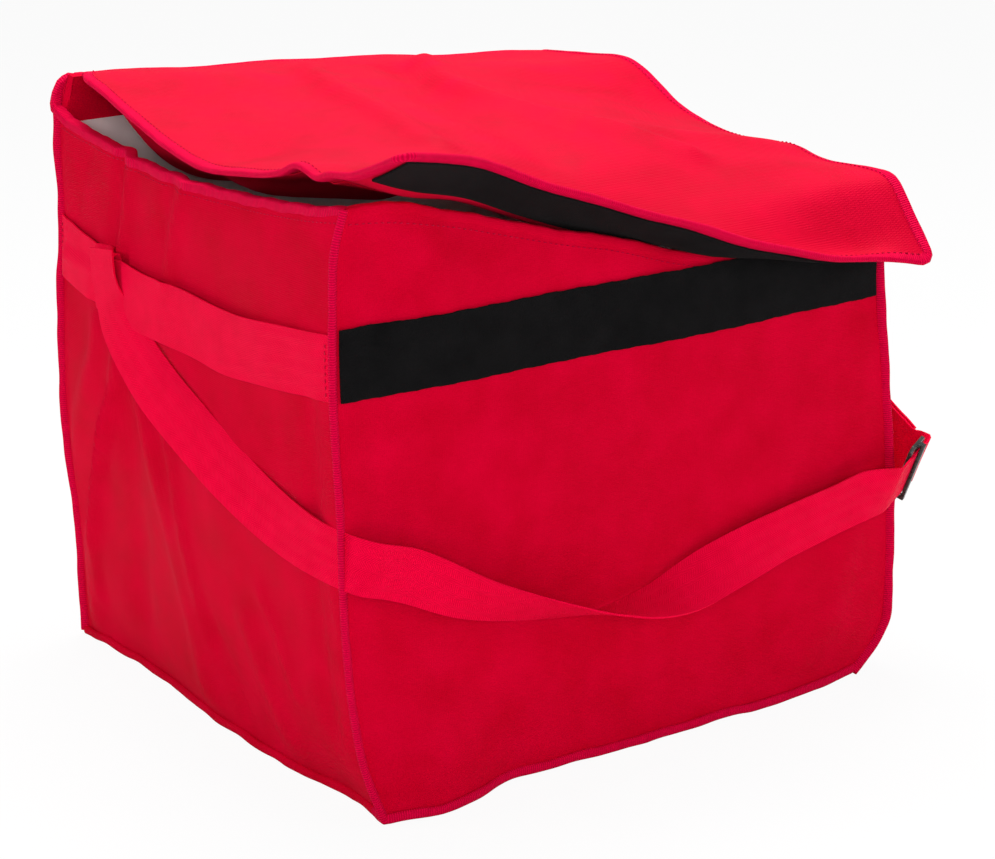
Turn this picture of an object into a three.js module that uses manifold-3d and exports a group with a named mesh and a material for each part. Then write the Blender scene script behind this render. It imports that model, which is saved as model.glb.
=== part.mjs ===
// Insulated pizza delivery bag: a soft square box of red fabric with a loose lid, a front flap with a
// hook tape, a loop tape across the front, side bands and a shoulder strap with a sliding adjuster.
// Millimetres, +Z up. X runs to the right along the front, -Y is the front, the origin is the centre
// of the base on the floor. The pose is the photographed one: the lid lies slack, its flap half up.
import * as THREE from 'three';
import Module from 'manifold-3d';
import { mergeVertices } from 'three/addons/utils/BufferGeometryUtils.js';

// Overall size of the bag, over its piped seams
const bagWidth = 480;
const bagDepth = 450;
const bagHeight = 440;

// Wall layers, from outside to inside
const coverThickness = 1.2;
const foamThickness = 5;
const liningThickness = 0.8;
const layerGap = 0.3;
const sideBow = 4;
const frontBow = 6;

// How the soft rim has settled
const leftRimSag = 15;
const frontRightSlump = 52;
const backRightSlump = 10;
const backRiseLeft = 32;
const backRiseRight = 8;

// Piping in the seams and binding on the edges
const pipingRadius = 4;
const pipingProud = 2;
const floorClearance = 0.5;
const rimBindingHeight = 6.4;
const edgeBindingRadius = 3.2;

// Lid and flap
const lidHingeRadius = 4.3;
const lidCoverThickness = 1.2;
const lidFoamThickness = 2;
const foldCordRadius = 1.6;
const foldReach = 5;
const foldGap = 3.5;
const foldBindingGap = 5.5;
const foldAboveLeftRim = 26;
const foldAboveRightRim = 16;
const flapLength = 75;
const flapDegreesMiddle = 24;
const flapDegreesRight = 26;
const flapDegreesLeft = 43;

// Tapes
const tapeWidth = 50;
const tapeThickness = 1.4;
const tapeCentreHeight = 336;
const tapeEndInset = 10;

// Side bands, and the webbing of the shoulder strap
const bandWidth = 46;
const bandThickness = 1.6;
const bandSlack = 4;
const bandCentreHeight = 335;
const webbingWidth = 40;
const webbingThickness = 1.4;
const leftLoopDepth = 126;
const rightLoopDepth = -75;
const strapLayerGap = 2;
const strapLowestHeight = 119;

// Sliding adjuster of the strap
const sliderLength = 28;
const sliderBar = 4.5;
const sliderThickness = 3;
const sliderEnd = 3.6;
const sliderPlay = 0.6;
const sliderHeight = 163;
const sliderOutset = 28;

// Depths of each layer's two faces behind the piped outline
const coverDepth = [pipingProud, pipingProud + coverThickness];
const foamDepth = [coverDepth[1] + layerGap, coverDepth[1] + layerGap + foamThickness];
const liningDepth = [foamDepth[1] + layerGap, foamDepth[1] + layerGap + liningThickness];
const seamInset = 2 * pipingRadius + layerGap;

const halfWidth = bagWidth / 2;
const halfDepth = bagDepth / 2;
const wallColumns = 14;
const wallRows = 6;
const strapPlane = halfWidth - pipingProud + sideBow + layerGap + bandSlack + bandThickness
  + layerGap + webbingThickness / 2 + 4 * layerGap;

const red = { color: 0xc4001f, roughness: 0.75, metalness: 0 };
const pinkRed = { color: 0xd20534, roughness: 0.7, metalness: 0 };
const grey = { color: 0x9a8f92, roughness: 0.55, metalness: 0 };
const foamWhite = { color: 0xe6e4de, roughness: 0.9, metalness: 0 };
const black = { color: 0x121113, roughness: 0.95, metalness: 0 };
const buckleGrey = { color: 0x2f3232, roughness: 0.3, metalness: 0 };

const wasm = await Module();
wasm.setup();

const bag = new THREE.Group();
const lid = new THREE.Group();
const flap = new THREE.Group();
const strap = new THREE.Group();

function vec(x, y, z) {
  return new THREE.Vector3(x, y, z);
}

function addMesh(group, name, geometry, look) {
  const mesh = new THREE.Mesh(geometry, new THREE.MeshStandardMaterial(look));
  mesh.name = name;
  group.add(mesh);
  return mesh;
}

function smoothStep(from, to, value) {
  const t = THREE.MathUtils.clamp((value - from) / (to - from), 0, 1);
  return t * t * (3 - 2 * t);
}

// A closed geometry from points and triangles, turned so that its faces point out
function closedGeometry(points, triangles) {
  let volume = 0;
  for (const [a, b, c] of triangles) {
    volume += points[a].dot(vec(0, 0, 0).crossVectors(points[b], points[c]));
  }
  const index = triangles.flatMap(([a, b, c]) => (volume > 0 ? [a, b, c] : [a, c, b]));
  const geometry = new THREE.BufferGeometry();
  geometry.setAttribute('position', new THREE.Float32BufferAttribute(points.flatMap((p) => p.toArray()), 3));
  geometry.setIndex(index);
  geometry.computeVertexNormals();
  return geometry;
}

// A sheet between two surfaces, each a function of u and v from 0 to 1
function sheet(columns, rows, topFace, underFace) {
  const points = [];
  const at = (side, i, j) => side * (columns + 1) * (rows + 1) + j * (columns + 1) + i;
  for (const face of [topFace, underFace]) {
    for (let j = 0; j <= rows; j += 1) {
      for (let i = 0; i <= columns; i += 1) points.push(face(i / columns, j / rows));
    }
  }
  const triangles = [];
  const quad = (a, b, c, d) => triangles.push([a, b, c], [a, c, d]);
  for (let j = 0; j < rows; j += 1) {
    for (let i = 0; i < columns; i += 1) {
      quad(at(0, i, j), at(0, i + 1, j), at(0, i + 1, j + 1), at(0, i, j + 1));
      quad(at(1, i, j), at(1, i, j + 1), at(1, i + 1, j + 1), at(1, i + 1, j));
    }
  }
  for (let i = 0; i < columns; i += 1) {
    quad(at(0, i, 0), at(1, i, 0), at(1, i + 1, 0), at(0, i + 1, 0));
    quad(at(0, i, rows), at(0, i + 1, rows), at(1, i + 1, rows), at(1, i, rows));
  }
  for (let j = 0; j < rows; j += 1) {
    quad(at(0, 0, j), at(0, 0, j + 1), at(1, 0, j + 1), at(1, 0, j));
    quad(at(0, columns, j), at(1, columns, j), at(1, columns, j + 1), at(0, columns, j + 1));
  }
  return closedGeometry(points, triangles);
}

// A solid through a row of rings with the same number of points, closed by a cap at each end
function loft(rings) {
  const sides = rings[0].length;
  const points = rings.flat();
  const triangles = [];
  for (let k = 0; k + 1 < rings.length; k += 1) {
    for (let i = 0; i < sides; i += 1) {
      const next = (i + 1) % sides;
      const here = k * sides;
      const there = here + sides;
      triangles.push([here + i, here + next, there + next], [here + i, there + next, there + i]);
    }
  }
  const last = (rings.length - 1) * sides;
  for (let i = 1; i + 1 < sides; i += 1) {
    triangles.push([0, i + 1, i], [last, last + i, last + i + 1]);
  }
  return closedGeometry(points, triangles);
}

// A round bead along a line of points, with its own width and height across the line
function bead(line, acrossAt, halfAcross, halfUp, sides = 8) {
  const rings = line.map((point, k) => {
    const before = line[Math.max(k - 1, 0)];
    const after = line[Math.min(k + 1, line.length - 1)];
    const along = after.clone().sub(before).normalize();
    const side = acrossAt(k).clone();
    side.addScaledVector(along, -side.dot(along)).normalize();
    const up = vec(0, 0, 0).crossVectors(along, side);
    const ring = [];
    for (let i = 0; i < sides; i += 1) {
      const turn = (2 * Math.PI * (i + 0.5)) / sides;
      ring.push(point.clone()
        .addScaledVector(side, halfAcross * Math.cos(turn))
        .addScaledVector(up, halfUp * Math.sin(turn)));
    }
    return ring;
  });
  return loft(rings);
}

// A flat ribbon along stations that each have a middle and the direction of the ribbon's outer face
function ribbon(stations, width, thickness, shift = 0) {
  const last = stations.length - 1;
  const frames = stations.map((station, k) => {
    const before = stations[Math.max(k - 1, 0)].middle;
    const after = stations[Math.min(k + 1, last)].middle;
    const along = after.clone().sub(before).normalize();
    const face = station.face.clone().projectOnPlane(along).normalize();
    return { middle: station.middle, face, across: vec(0, 0, 0).crossVectors(face, along) };
  });
  const surface = (offset) => (u, v) => {
    const { middle, face, across } = frames[Math.round(u * last)];
    return middle.clone().addScaledVector(across, (v - 0.5) * width).addScaledVector(face, offset);
  };
  return sheet(last, 2, surface(shift + thickness / 2), surface(shift - thickness / 2));
}

// Height of the rim along each wall; along is X on the front and back, Y on the sides
function rimHeight(wall, along) {
  if (wall === 'front') {
    return bagHeight - frontRightSlump * smoothStep(-halfWidth, halfWidth / 6, along);
  }
  if (wall === 'left') return bagHeight - leftRimSag * (1 - (along / halfDepth) ** 2);
  if (wall === 'right') {
    const settled = smoothStep(halfDepth / 2, -halfDepth / 10, along);
    return bagHeight - backRightSlump - (frontRightSlump - backRightSlump) * settled;
  }
  const share = (along + halfWidth) / bagWidth;
  return bagHeight + backRiseLeft + (backRiseRight - backRightSlump - backRiseLeft) * share;
}

// A point of a wall at a depth behind the piped outline; the walls belly out between their seams
function wallPoint(wall, along, height, depth) {
  const onSide = wall === 'left' || wall === 'right';
  const reach = onSide ? halfDepth : halfWidth;
  const up = THREE.MathUtils.clamp(height / bagHeight, 0, 1);
  const belly = (onSide ? sideBow : frontBow) * (1 - (along / reach) ** 2) * 4 * up * (1 - up);
  const out = (onSide ? halfWidth : halfDepth) - depth + Math.max(belly, 0);
  if (wall === 'front') return vec(along, -out, height);
  if (wall === 'back') return vec(along, out, height);
  return vec(wall === 'left' ? -out : out, along, height);
}

// One layer of a wall, from its foot to the rim
function wallLayer(wall, depth, reach, foot) {
  const face = (faceDepth) => (u, v) => {
    const along = (2 * u - 1) * reach;
    const height = foot + (rimHeight(wall, along) - foot) * v;
    return wallPoint(wall, along, height, faceDepth);
  };
  return sheet(wallColumns, wallRows, face(depth[0]), face(depth[1]));
}

function flatLayer(low, high, reachX, reachY) {
  const face = (height) => (u, v) => vec((2 * u - 1) * reachX, (2 * v - 1) * reachY, height);
  return sheet(2, 2, face(high), face(low));
}

const bottomLining = [
  coverThickness + layerGap + foamThickness + layerGap,
  coverThickness + layerGap + foamThickness + layerGap + liningThickness,
];
const coverFoot = floorClearance + seamInset;

function addWalls() {
  for (const wall of ['front', 'back', 'left', 'right']) {
    const onSide = wall === 'left' || wall === 'right';
    const half = onSide ? halfDepth : halfWidth;
    const inset = (depth) => Math.max(seamInset, onSide ? depth[1] + layerGap : depth[0]);
    addMesh(bag, `cover_${wall}`, wallLayer(wall, coverDepth, half - inset(coverDepth), coverFoot), red);
    addMesh(bag, `foam_${wall}`, wallLayer(wall, foamDepth, half - inset(foamDepth), coverFoot), foamWhite);
    const liningFoot = bottomLining[0];
    addMesh(bag, `lining_${wall}`, wallLayer(wall, liningDepth, half - inset(liningDepth), liningFoot), grey);
  }
}

function addBottom() {
  const reachX = halfWidth - seamInset;
  const reachY = halfDepth - seamInset;
  const foamLow = coverThickness + layerGap;
  addMesh(bag, 'cover_bottom', flatLayer(0, coverThickness, reachX, reachY), red);
  addMesh(bag, 'foam_bottom', flatLayer(foamLow, foamLow + foamThickness, reachX, reachY), foamWhite);
  const inside = liningDepth[1] + layerGap;
  const floor = flatLayer(bottomLining[0], bottomLining[1], halfWidth - inside, halfDepth - inside);
  addMesh(bag, 'lining_bottom', floor, grey);
}

// Round piping in the upright seams and around the base
function addPiping() {
  const cornerX = halfWidth - pipingRadius;
  const cornerY = halfDepth - pipingRadius;
  const tops = {
    front_left: rimHeight('front', -halfWidth) + rimBindingHeight / 2,
    front_right: rimHeight('front', halfWidth) + rimBindingHeight / 2,
    back_left: rimHeight('back', -halfWidth) - 2 * pipingRadius,
    back_right: rimHeight('back', halfWidth) - 2 * pipingRadius,
  };
  for (const [corner, top] of Object.entries(tops)) {
    const x = corner.endsWith('left') ? -cornerX : cornerX;
    const y = corner.startsWith('front') ? -cornerY : cornerY;
    const line = [vec(x, y, floorClearance), vec(x, y, top)];
    addMesh(bag, `piping_${corner}`, bead(line, () => vec(1, 0, 0), pipingRadius, pipingRadius, 12), pinkRed);
  }
  const height = floorClearance + pipingRadius;
  const endX = halfWidth - seamInset;
  const endY = halfDepth - seamInset;
  const lines = {
    front: [vec(-endX, -cornerY, height), vec(endX, -cornerY, height)],
    back: [vec(-endX, cornerY, height), vec(endX, cornerY, height)],
    left: [vec(-cornerX, -endY, height), vec(-cornerX, endY, height)],
    right: [vec(cornerX, -endY, height), vec(cornerX, endY, height)],
  };
  for (const [side, line] of Object.entries(lines)) {
    addMesh(bag, `base_piping_${side}`, bead(line, () => vec(0, 0, 1), pipingRadius, pipingRadius, 12), pinkRed);
  }
}

// Binding tape folded over the top of the left, front and right walls
function addRimBinding() {
  const middleDepth = (coverDepth[0] + liningDepth[1]) / 2;
  const halfAcross = (liningDepth[1] - coverDepth[0]) / 2 + 0.8;
  for (const wall of ['left', 'front', 'right']) {
    const onSide = wall !== 'front';
    const end = onSide ? halfDepth - middleDepth - halfAcross - layerGap : halfWidth - seamInset;
    const line = [];
    for (let k = 0; k <= wallColumns; k += 1) {
      const along = ((2 * k) / wallColumns - 1) * end;
      const height = rimHeight(wall, along) + layerGap + rimBindingHeight / 2;
      const point = wallPoint(wall, along, rimHeight(wall, along), middleDepth);
      line.push(vec(point.x, point.y, height));
    }
    const across = onSide ? vec(1, 0, 0) : vec(0, 1, 0);
    addMesh(bag, `rim_binding_${wall}`, bead(line, () => across, halfAcross, rimBindingHeight / 2), pinkRed);
  }
}

// The lid turns on the piped top edge of the back wall
const hingeOffset = lidHingeRadius / Math.SQRT2;
const hingeY = halfDepth - pipingProud + hingeOffset;
const hingeZ = (x) => rimHeight('back', x) + hingeOffset;
const hingePipingRadius = lidHingeRadius - layerGap;
const rimTop = (wall, along) => rimHeight(wall, along) + layerGap + rimBindingHeight;

function addHingePiping() {
  const end = halfWidth - pipingRadius;
  const line = [vec(-end, hingeY, hingeZ(-end)), vec(end, hingeY, hingeZ(end))];
  addMesh(bag, 'lid_hinge_piping', bead(line, () => vec(0, 1, 0), hingePipingRadius, hingePipingRadius), pinkRed);
}

// The flap folds on a straight line just in front of the rim, lower on the slumped right side
const foldY = -halfDepth - foldReach;
const foldLeft = vec(-halfWidth, foldY, bagHeight + foldAboveLeftRim);
const foldRight = vec(halfWidth, foldY, rimHeight('front', halfWidth) + foldAboveRightRim);
const foldAxis = foldRight.clone().sub(foldLeft).normalize();
const foldPoint = (u) => foldLeft.clone().lerp(foldRight, u);

// Heights of the slack lid at even stations from the hinge to the fold: left edge, middle, right edge.
// The left edge rests on the left rim, and the right edge follows the slumped front right corner.
const seatStation = 4;
const seatY = hingeY + ((foldY - hingeY) * seatStation) / 7;
const seatHeight = rimTop('left', seatY) + edgeBindingRadius + layerGap + 0.6;
const leftHeights = [
  hingeZ(-halfWidth), bagHeight + 35, bagHeight + 19, bagHeight + 3,
  seatHeight, bagHeight + 10, bagHeight + 21, foldLeft.z,
];
const middleHeights = [
  hingeZ(0), bagHeight + 18, bagHeight + 16, bagHeight + 15,
  bagHeight + 17, bagHeight + 22, bagHeight + 26, foldPoint(0.5).z,
];
const rightHeights = [
  hingeZ(halfWidth), bagHeight + 11, bagHeight + 3, bagHeight - 0.37 * frontRightSlump,
  bagHeight - 0.58 * frontRightSlump, bagHeight - 0.62 * frontRightSlump,
  bagHeight - 0.67 * frontRightSlump, foldRight.z,
];

function profile(heights) {
  return new THREE.CatmullRomCurve3(
    heights.map((z, k) => vec(0, hingeY + ((foldY - hingeY) * k) / (heights.length - 1), z)),
    false,
    'catmullrom',
    0.5,
  );
}

const leftProfile = profile(leftHeights);
const middleProfile = profile(middleHeights);
const rightProfile = profile(rightHeights);

// A point of the lid's middle surface; across is -1 at the left edge and 1 at the right
function lidPoint(across, back) {
  const left = leftProfile.getPoint(back);
  const middle = middleProfile.getPoint(back);
  const right = rightProfile.getPoint(back);
  const point = middle.clone().multiplyScalar(1 - across * across);
  point.addScaledVector(left, (across * (across - 1)) / 2);
  point.addScaledVector(right, (across * (across + 1)) / 2);
  point.x = across * halfWidth;
  return point;
}

const lidRun = hingeY - foldY;
const lidStart = (lidHingeRadius + layerGap) / lidRun;
const lidEnd = 1 - foldGap / lidRun;
const bindingEnd = 1 - foldBindingGap / lidRun;
const lidColumns = 12;
const lidRows = 20;

function addLid() {
  const edge = 1 - (2 * edgeBindingRadius + layerGap) / halfWidth;
  const layer = (low, high) => {
    const face = (offset) => (u, v) => {
      const point = lidPoint((2 * u - 1) * edge, lidStart + (lidEnd - lidStart) * v);
      point.z += offset;
      return point;
    };
    return sheet(lidColumns, lidRows, face(high), face(low));
  };
  const foamHalf = lidFoamThickness / 2;
  const skin = foamHalf + layerGap;
  addMesh(lid, 'lid_cover', layer(skin, skin + lidCoverThickness), red);
  addMesh(lid, 'lid_foam', layer(-foamHalf, foamHalf), foamWhite);
  addMesh(lid, 'lid_underside', layer(-skin - lidCoverThickness, -skin), red);
  for (const [side, across] of [['left', -1], ['right', 1]]) {
    const line = [];
    for (let k = 0; k <= lidRows; k += 1) {
      const place = across * (1 - edgeBindingRadius / halfWidth);
      line.push(lidPoint(place, lidStart + (bindingEnd - lidStart) * (k / lidRows)));
    }
    const radius = edgeBindingRadius;
    addMesh(lid, `lid_binding_${side}`, bead(line, () => vec(1, 0, 0), radius, radius), pinkRed);
  }
  const end = halfWidth - edgeBindingRadius;
  const line = [-end, end].map((x) => foldPoint((x + halfWidth) / bagWidth));
  addMesh(lid, 'flap_fold_cord', bead(line, () => vec(0, 1, 0), foldCordRadius, foldCordRadius), pinkRed);
}

// Direction of the flap away from its fold: raised at the left end and hanging at the right end
const foldForward = vec(0, -1, 0);
const foldDown = vec(0, 0, 0).crossVectors(foldAxis, foldForward).normalize();
if (foldDown.z > 0) foldDown.negate();

function flapAngle(across) {
  const bend = (flapDegreesRight - flapDegreesLeft) / 2;
  const lean = (flapDegreesRight + flapDegreesLeft) / 2;
  return THREE.MathUtils.degToRad(flapDegreesMiddle + lean * across + bend * across * across);
}

// A point of the flap, at a distance from the fold and an offset towards its upper side
function flapPoint(across, distance, offset) {
  const angle = flapAngle(across);
  const out = foldForward.clone().multiplyScalar(Math.cos(angle)).addScaledVector(foldDown, Math.sin(angle));
  const upper = foldForward.clone().multiplyScalar(Math.sin(angle)).addScaledVector(foldDown, -Math.cos(angle));
  return foldPoint((across + 1) / 2).addScaledVector(out, distance).addScaledVector(upper, offset);
}

function addFlap() {
  const edge = 1 - (2 * edgeBindingRadius + layerGap) / halfWidth;
  const first = foldGap;
  const last = flapLength - 2 * edgeBindingRadius - layerGap;
  const cornerRadius = 3 * edgeBindingRadius;
  const straight = flapLength - edgeBindingRadius - cornerRadius;
  const layer = (low, high) => {
    const face = (offset) => (u, v) => {
      const turning = Math.max(5 * v - 4, 0);
      const reach = edge - (turning * (cornerRadius - edgeBindingRadius)) / halfWidth;
      const distance = first + (straight - first) * Math.min(v / 0.8, 1) + (last - straight) * turning;
      return flapPoint((2 * u - 1) * reach, distance, offset);
    };
    return sheet(16, 5, face(high), face(low));
  };
  const half = layerGap / 2;
  const under = half + lidCoverThickness + 2 * layerGap;
  const tapeReach = edge - tapeEndInset / halfWidth;
  addMesh(flap, 'flap_cover', layer(half, half + lidCoverThickness), red);
  addMesh(flap, 'flap_underside', layer(-half - lidCoverThickness, -half), red);
  const tapeFace = (offset) => (u, v) => (
    flapPoint((2 * u - 1) * tapeReach, last - (1 - v) * tapeWidth, offset)
  );
  const tape = sheet(16, 3, tapeFace(-under), tapeFace(-under - tapeThickness));
  addMesh(flap, 'flap_hook_tape', tape, black);

  const bindingEdge = 1 - edgeBindingRadius / halfWidth;
  const front = flapLength - edgeBindingRadius;
  const line = [];
  const place = (across, distance) => line.push(flapPoint(across, distance, 0));
  place(-bindingEdge, foldBindingGap);
  place(-bindingEdge, (first + front) / 2);
  line.push(...cornerPoints(-1, bindingEdge, front, cornerRadius));
  for (let k = 1; k < 20; k += 1) {
    const reach = bindingEdge - cornerRadius / halfWidth;
    place(((2 * k) / 20 - 1) * reach, front);
  }
  line.push(...cornerPoints(1, bindingEdge, front, cornerRadius));
  place(bindingEdge, (first + front) / 2);
  place(bindingEdge, foldBindingGap);
  const upper = (k) => {
    const across = THREE.MathUtils.clamp(line[k].x / halfWidth, -1, 1);
    return flapPoint(across, 0, 1).sub(flapPoint(across, 0, 0));
  };
  addMesh(flap, 'flap_binding', bead(line, upper, edgeBindingRadius, edgeBindingRadius), pinkRed);
}

// The rounded corner of the flap's binding; side is -1 at the left and 1 at the right
function cornerPoints(side, edge, front, radius) {
  const points = [];
  for (let k = 0; k <= 4; k += 1) {
    const turn = ((side < 0 ? k : 4 - k) * Math.PI) / 8;
    const across = side * (edge - (radius * (1 - Math.cos(turn))) / halfWidth);
    points.push(flapPoint(across, front - radius * (1 - Math.sin(turn)), 0));
  }
  return points;
}

function addFrontTape() {
  const reach = halfWidth - tapeEndInset;
  const face = (depth) => (u, v) => {
    const height = tapeCentreHeight + (v - 0.5) * tapeWidth;
    return wallPoint('front', (2 * u - 1) * reach, height, depth);
  };
  const inner = pipingProud - layerGap;
  addMesh(bag, 'front_loop_tape', sheet(wallColumns, 4, face(inner - tapeThickness), face(inner)), black);
}

// How far the inner face of a side band stands off the piped outline at a depth along the bag
function bandInner(y) {
  const reach = halfDepth - tapeEndInset;
  return pipingProud - layerGap - bandSlack * (1 - (y / reach) ** 2);
}

function addSideBands() {
  const reach = halfDepth - tapeEndInset;
  for (const wall of ['left', 'right']) {
    const face = (extra) => (u, v) => {
      const y = (2 * u - 1) * reach;
      const height = bandCentreHeight + (v - 0.5) * bandWidth;
      return wallPoint(wall, y, height, bandInner(y) - extra);
    };
    addMesh(bag, `side_band_${wall}`, sheet(wallColumns, 4, face(bandThickness), face(0)), pinkRed);
  }
}

// The end of the strap, folded round the side band and sewn to itself, as a flat sleeve
function addStrapLoops() {
  const half = bandWidth / 2 + layerGap;
  for (const [wall, depth] of [['left', leftLoopDepth], ['right', rightLoopDepth]]) {
    const stations = [];
    for (let k = 0; k <= 4; k += 1) {
      const y = depth + (k / 4 - 0.5) * webbingWidth;
      const ring = (inner, outer, grow) => [[inner, -1], [outer, -1], [outer, 1], [inner, 1]].map(
        ([face, side]) => wallPoint(wall, y, bandCentreHeight + side * (half + grow), face),
      );
      const inner = bandInner(y) + layerGap;
      const outer = bandInner(y) - bandThickness - layerGap;
      stations.push({
        hole: ring(inner, outer, 0),
        skin: ring(inner + webbingThickness, outer - webbingThickness, webbingThickness),
      });
    }
    addMesh(bag, `strap_loop_${wall}`, sleeve(stations), pinkRed);
  }
}

// A tube with walls, through stations that each have an outer and an inner ring of four points
function sleeve(stations) {
  const points = stations.flatMap((station) => [...station.skin, ...station.hole]);
  const triangles = [];
  const quad = (a, b, c, d) => triangles.push([a, b, c], [a, c, d]);
  const last = (stations.length - 1) * 8;
  for (let i = 0; i < 4; i += 1) {
    const next = (i + 1) % 4;
    for (let here = 0; here < last; here += 8) {
      quad(here + i, here + next, here + 8 + next, here + 8 + i);
      quad(here + 4 + i, here + 12 + i, here + 12 + next, here + 4 + next);
    }
    quad(i, i + 4, next + 4, next);
    quad(last + i, last + next, last + next + 4, last + i + 4);
  }
  return closedGeometry(points, triangles);
}

// The adjuster's own directions: along the webbing's width, along its run, and off its outer face
const sliderRun = vec(0.9, 0.436, 0.15).normalize();
const sliderAcross = vec(0.2, -0.3, 0.93).projectOnPlane(sliderRun).normalize();
const sliderFace = vec(0, 0, 0).crossVectors(sliderRun, sliderAcross);
const sliderCentre = vec(halfWidth + sliderOutset, -halfDepth - 1, sliderHeight);
const strapTop = bandCentreHeight - bandWidth / 2 - 2 * layerGap - webbingThickness;
const strapFall = strapTop - strapLowestHeight;

// The shoulder strap, from the left loop across the side, round the front and up to the right loop.
// Each station has a middle and the direction of its outer face. The strap leans outwards on the left
// side, turns over in the sag at the front, runs straight at the adjuster and rises on the right side.
function strapStations() {
  const { degToRad, lerp } = THREE.MathUtils;
  const stations = [];
  const place = (middle, face) => stations.push({ middle, face: face.normalize() });

  // Share of the way to the front, share of the webbing's width it stands off, share of the fall, lean
  const leftSide = [
    [0, 0, 1, 0], [0.06, 0.08, 0.927, 12], [0.16, 0.2, 0.827, 26], [0.3, 0.3, 0.69, 34],
    [0.46, 0.33, 0.565, 34], [0.615, 0.3, 0.46, 29], [0.786, 0.22, 0.387, 18], [0.93, 0.1, 0.356, 8],
  ];
  for (const [forward, off, height, lean] of leftSide) {
    place(
      vec(
        -strapPlane - off * webbingWidth,
        lerp(leftLoopDepth, -halfDepth, forward),
        strapLowestHeight + height * strapFall,
      ),
      vec(-Math.cos(degToRad(lean)), 0, Math.sin(degToRad(lean))),
    );
  }
  const cornerHeight = strapLowestHeight + 0.345 * strapFall;
  place(vec(-halfWidth, -halfDepth - frontBow - webbingWidth / 8, cornerHeight), vec(-0.5, -0.86, 0));

  // Share of half the width, share of the webbing's width it stands off, share of the fall, turn
  const frontSag = [
    [-0.86, 0.16, 0.3, 12], [-0.64, 0.38, 0.19, 42], [-0.4, 0.5, 0.09, 64], [-0.19, 0.56, 0.016, 80],
    [0.01, 0.55, 0, 104], [0.25, 0.4, 0.042, 142], [0.5, 0.2, 0.094, 168], [0.74, 0.15, 0.141, 180],
    [0.87, 0.18, 0.178, 176],
  ];
  for (const [right, off, height, turn] of frontSag) {
    place(
      vec(
        right * halfWidth,
        -halfDepth - frontBow - off * webbingWidth,
        strapLowestHeight + height * strapFall,
      ),
      vec(0, -Math.cos(degToRad(turn)), -Math.sin(degToRad(turn))),
    );
  }
  for (const run of [-1.2 * sliderLength, -0.9 * sliderLength, -0.36 * sliderLength,
    0.36 * sliderLength, 0.82 * sliderLength]) {
    place(sliderCentre.clone().addScaledVector(sliderRun, run), sliderFace.clone().negate());
  }

  // Share of the way back and up from the adjuster to the loop, multiple of its outset, turn of the face
  const rightSide = [
    [0.17, 0.035, 2.2, 0.4], [0.27, 0.115, 2.05, 0.15], [0.385, 0.25, 1.5, 0.05],
    [0.515, 0.4, 0.9, 0], [0.69, 0.605, 0.42, 0], [0.86, 0.83, 0.07, 0], [1, 1, 0, 0],
  ];
  for (const [back, up, off, turn] of rightSide) {
    place(
      vec(
        strapPlane + off * (sliderCentre.x - strapPlane),
        lerp(sliderCentre.y, rightLoopDepth, back),
        lerp(sliderCentre.z, strapTop, up),
      ),
      vec(-1, turn, turn),
    );
  }
  return stations;
}

// Evenly spaced stations along a smooth curve through the given ones, from one of them to the last
function smoothStations(stations, spacing, first = 0) {
  const middles = new THREE.CatmullRomCurve3(stations.map((s) => s.middle), false, 'centripetal');
  const spans = stations.length - 1;
  const steps = Math.round(middles.getLength() / spacing);
  const result = [];
  for (let k = 0; k <= steps; k += 1) {
    const place = middles.getUtoTmapping(k / steps) * spans;
    const span = Math.min(Math.floor(place), spans - 1);
    if (place < first) continue;
    result.push({
      middle: middles.getPoint(place / spans),
      face: stations[span].face.clone().lerp(stations[span + 1].face, place - span),
    });
  }
  return result;
}

function addStrap() {
  const given = strapStations();
  const spacing = webbingWidth / 4;
  const whole = smoothStations(given, spacing);
  addMesh(strap, 'shoulder_strap', ribbon(whole, webbingWidth, webbingThickness), pinkRed);
  const second = smoothStations(given, spacing, given.length - 6.5);
  const outwards = -webbingThickness - strapLayerGap;
  addMesh(strap, 'strap_return', ribbon(second, webbingWidth, webbingThickness, outwards), pinkRed);
}

function toSolid(geometry) {
  const bare = geometry.clone();
  for (const name of ['normal', 'uv']) bare.deleteAttribute(name);
  const merged = mergeVertices(bare, 1e-4);
  return new wasm.Manifold(new wasm.Mesh({
    numProp: 3,
    vertProperties: new Float32Array(merged.attributes.position.array),
    triVerts: new Uint32Array(merged.index.array),
  }));
}

function toGeometry(solid) {
  const mesh = solid.getMesh();
  const geometry = new THREE.BufferGeometry();
  geometry.setAttribute('position', new THREE.BufferAttribute(mesh.vertProperties, 3));
  geometry.setIndex(new THREE.BufferAttribute(mesh.triVerts, 1));
  geometry.computeVertexNormals();
  return geometry;
}

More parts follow.
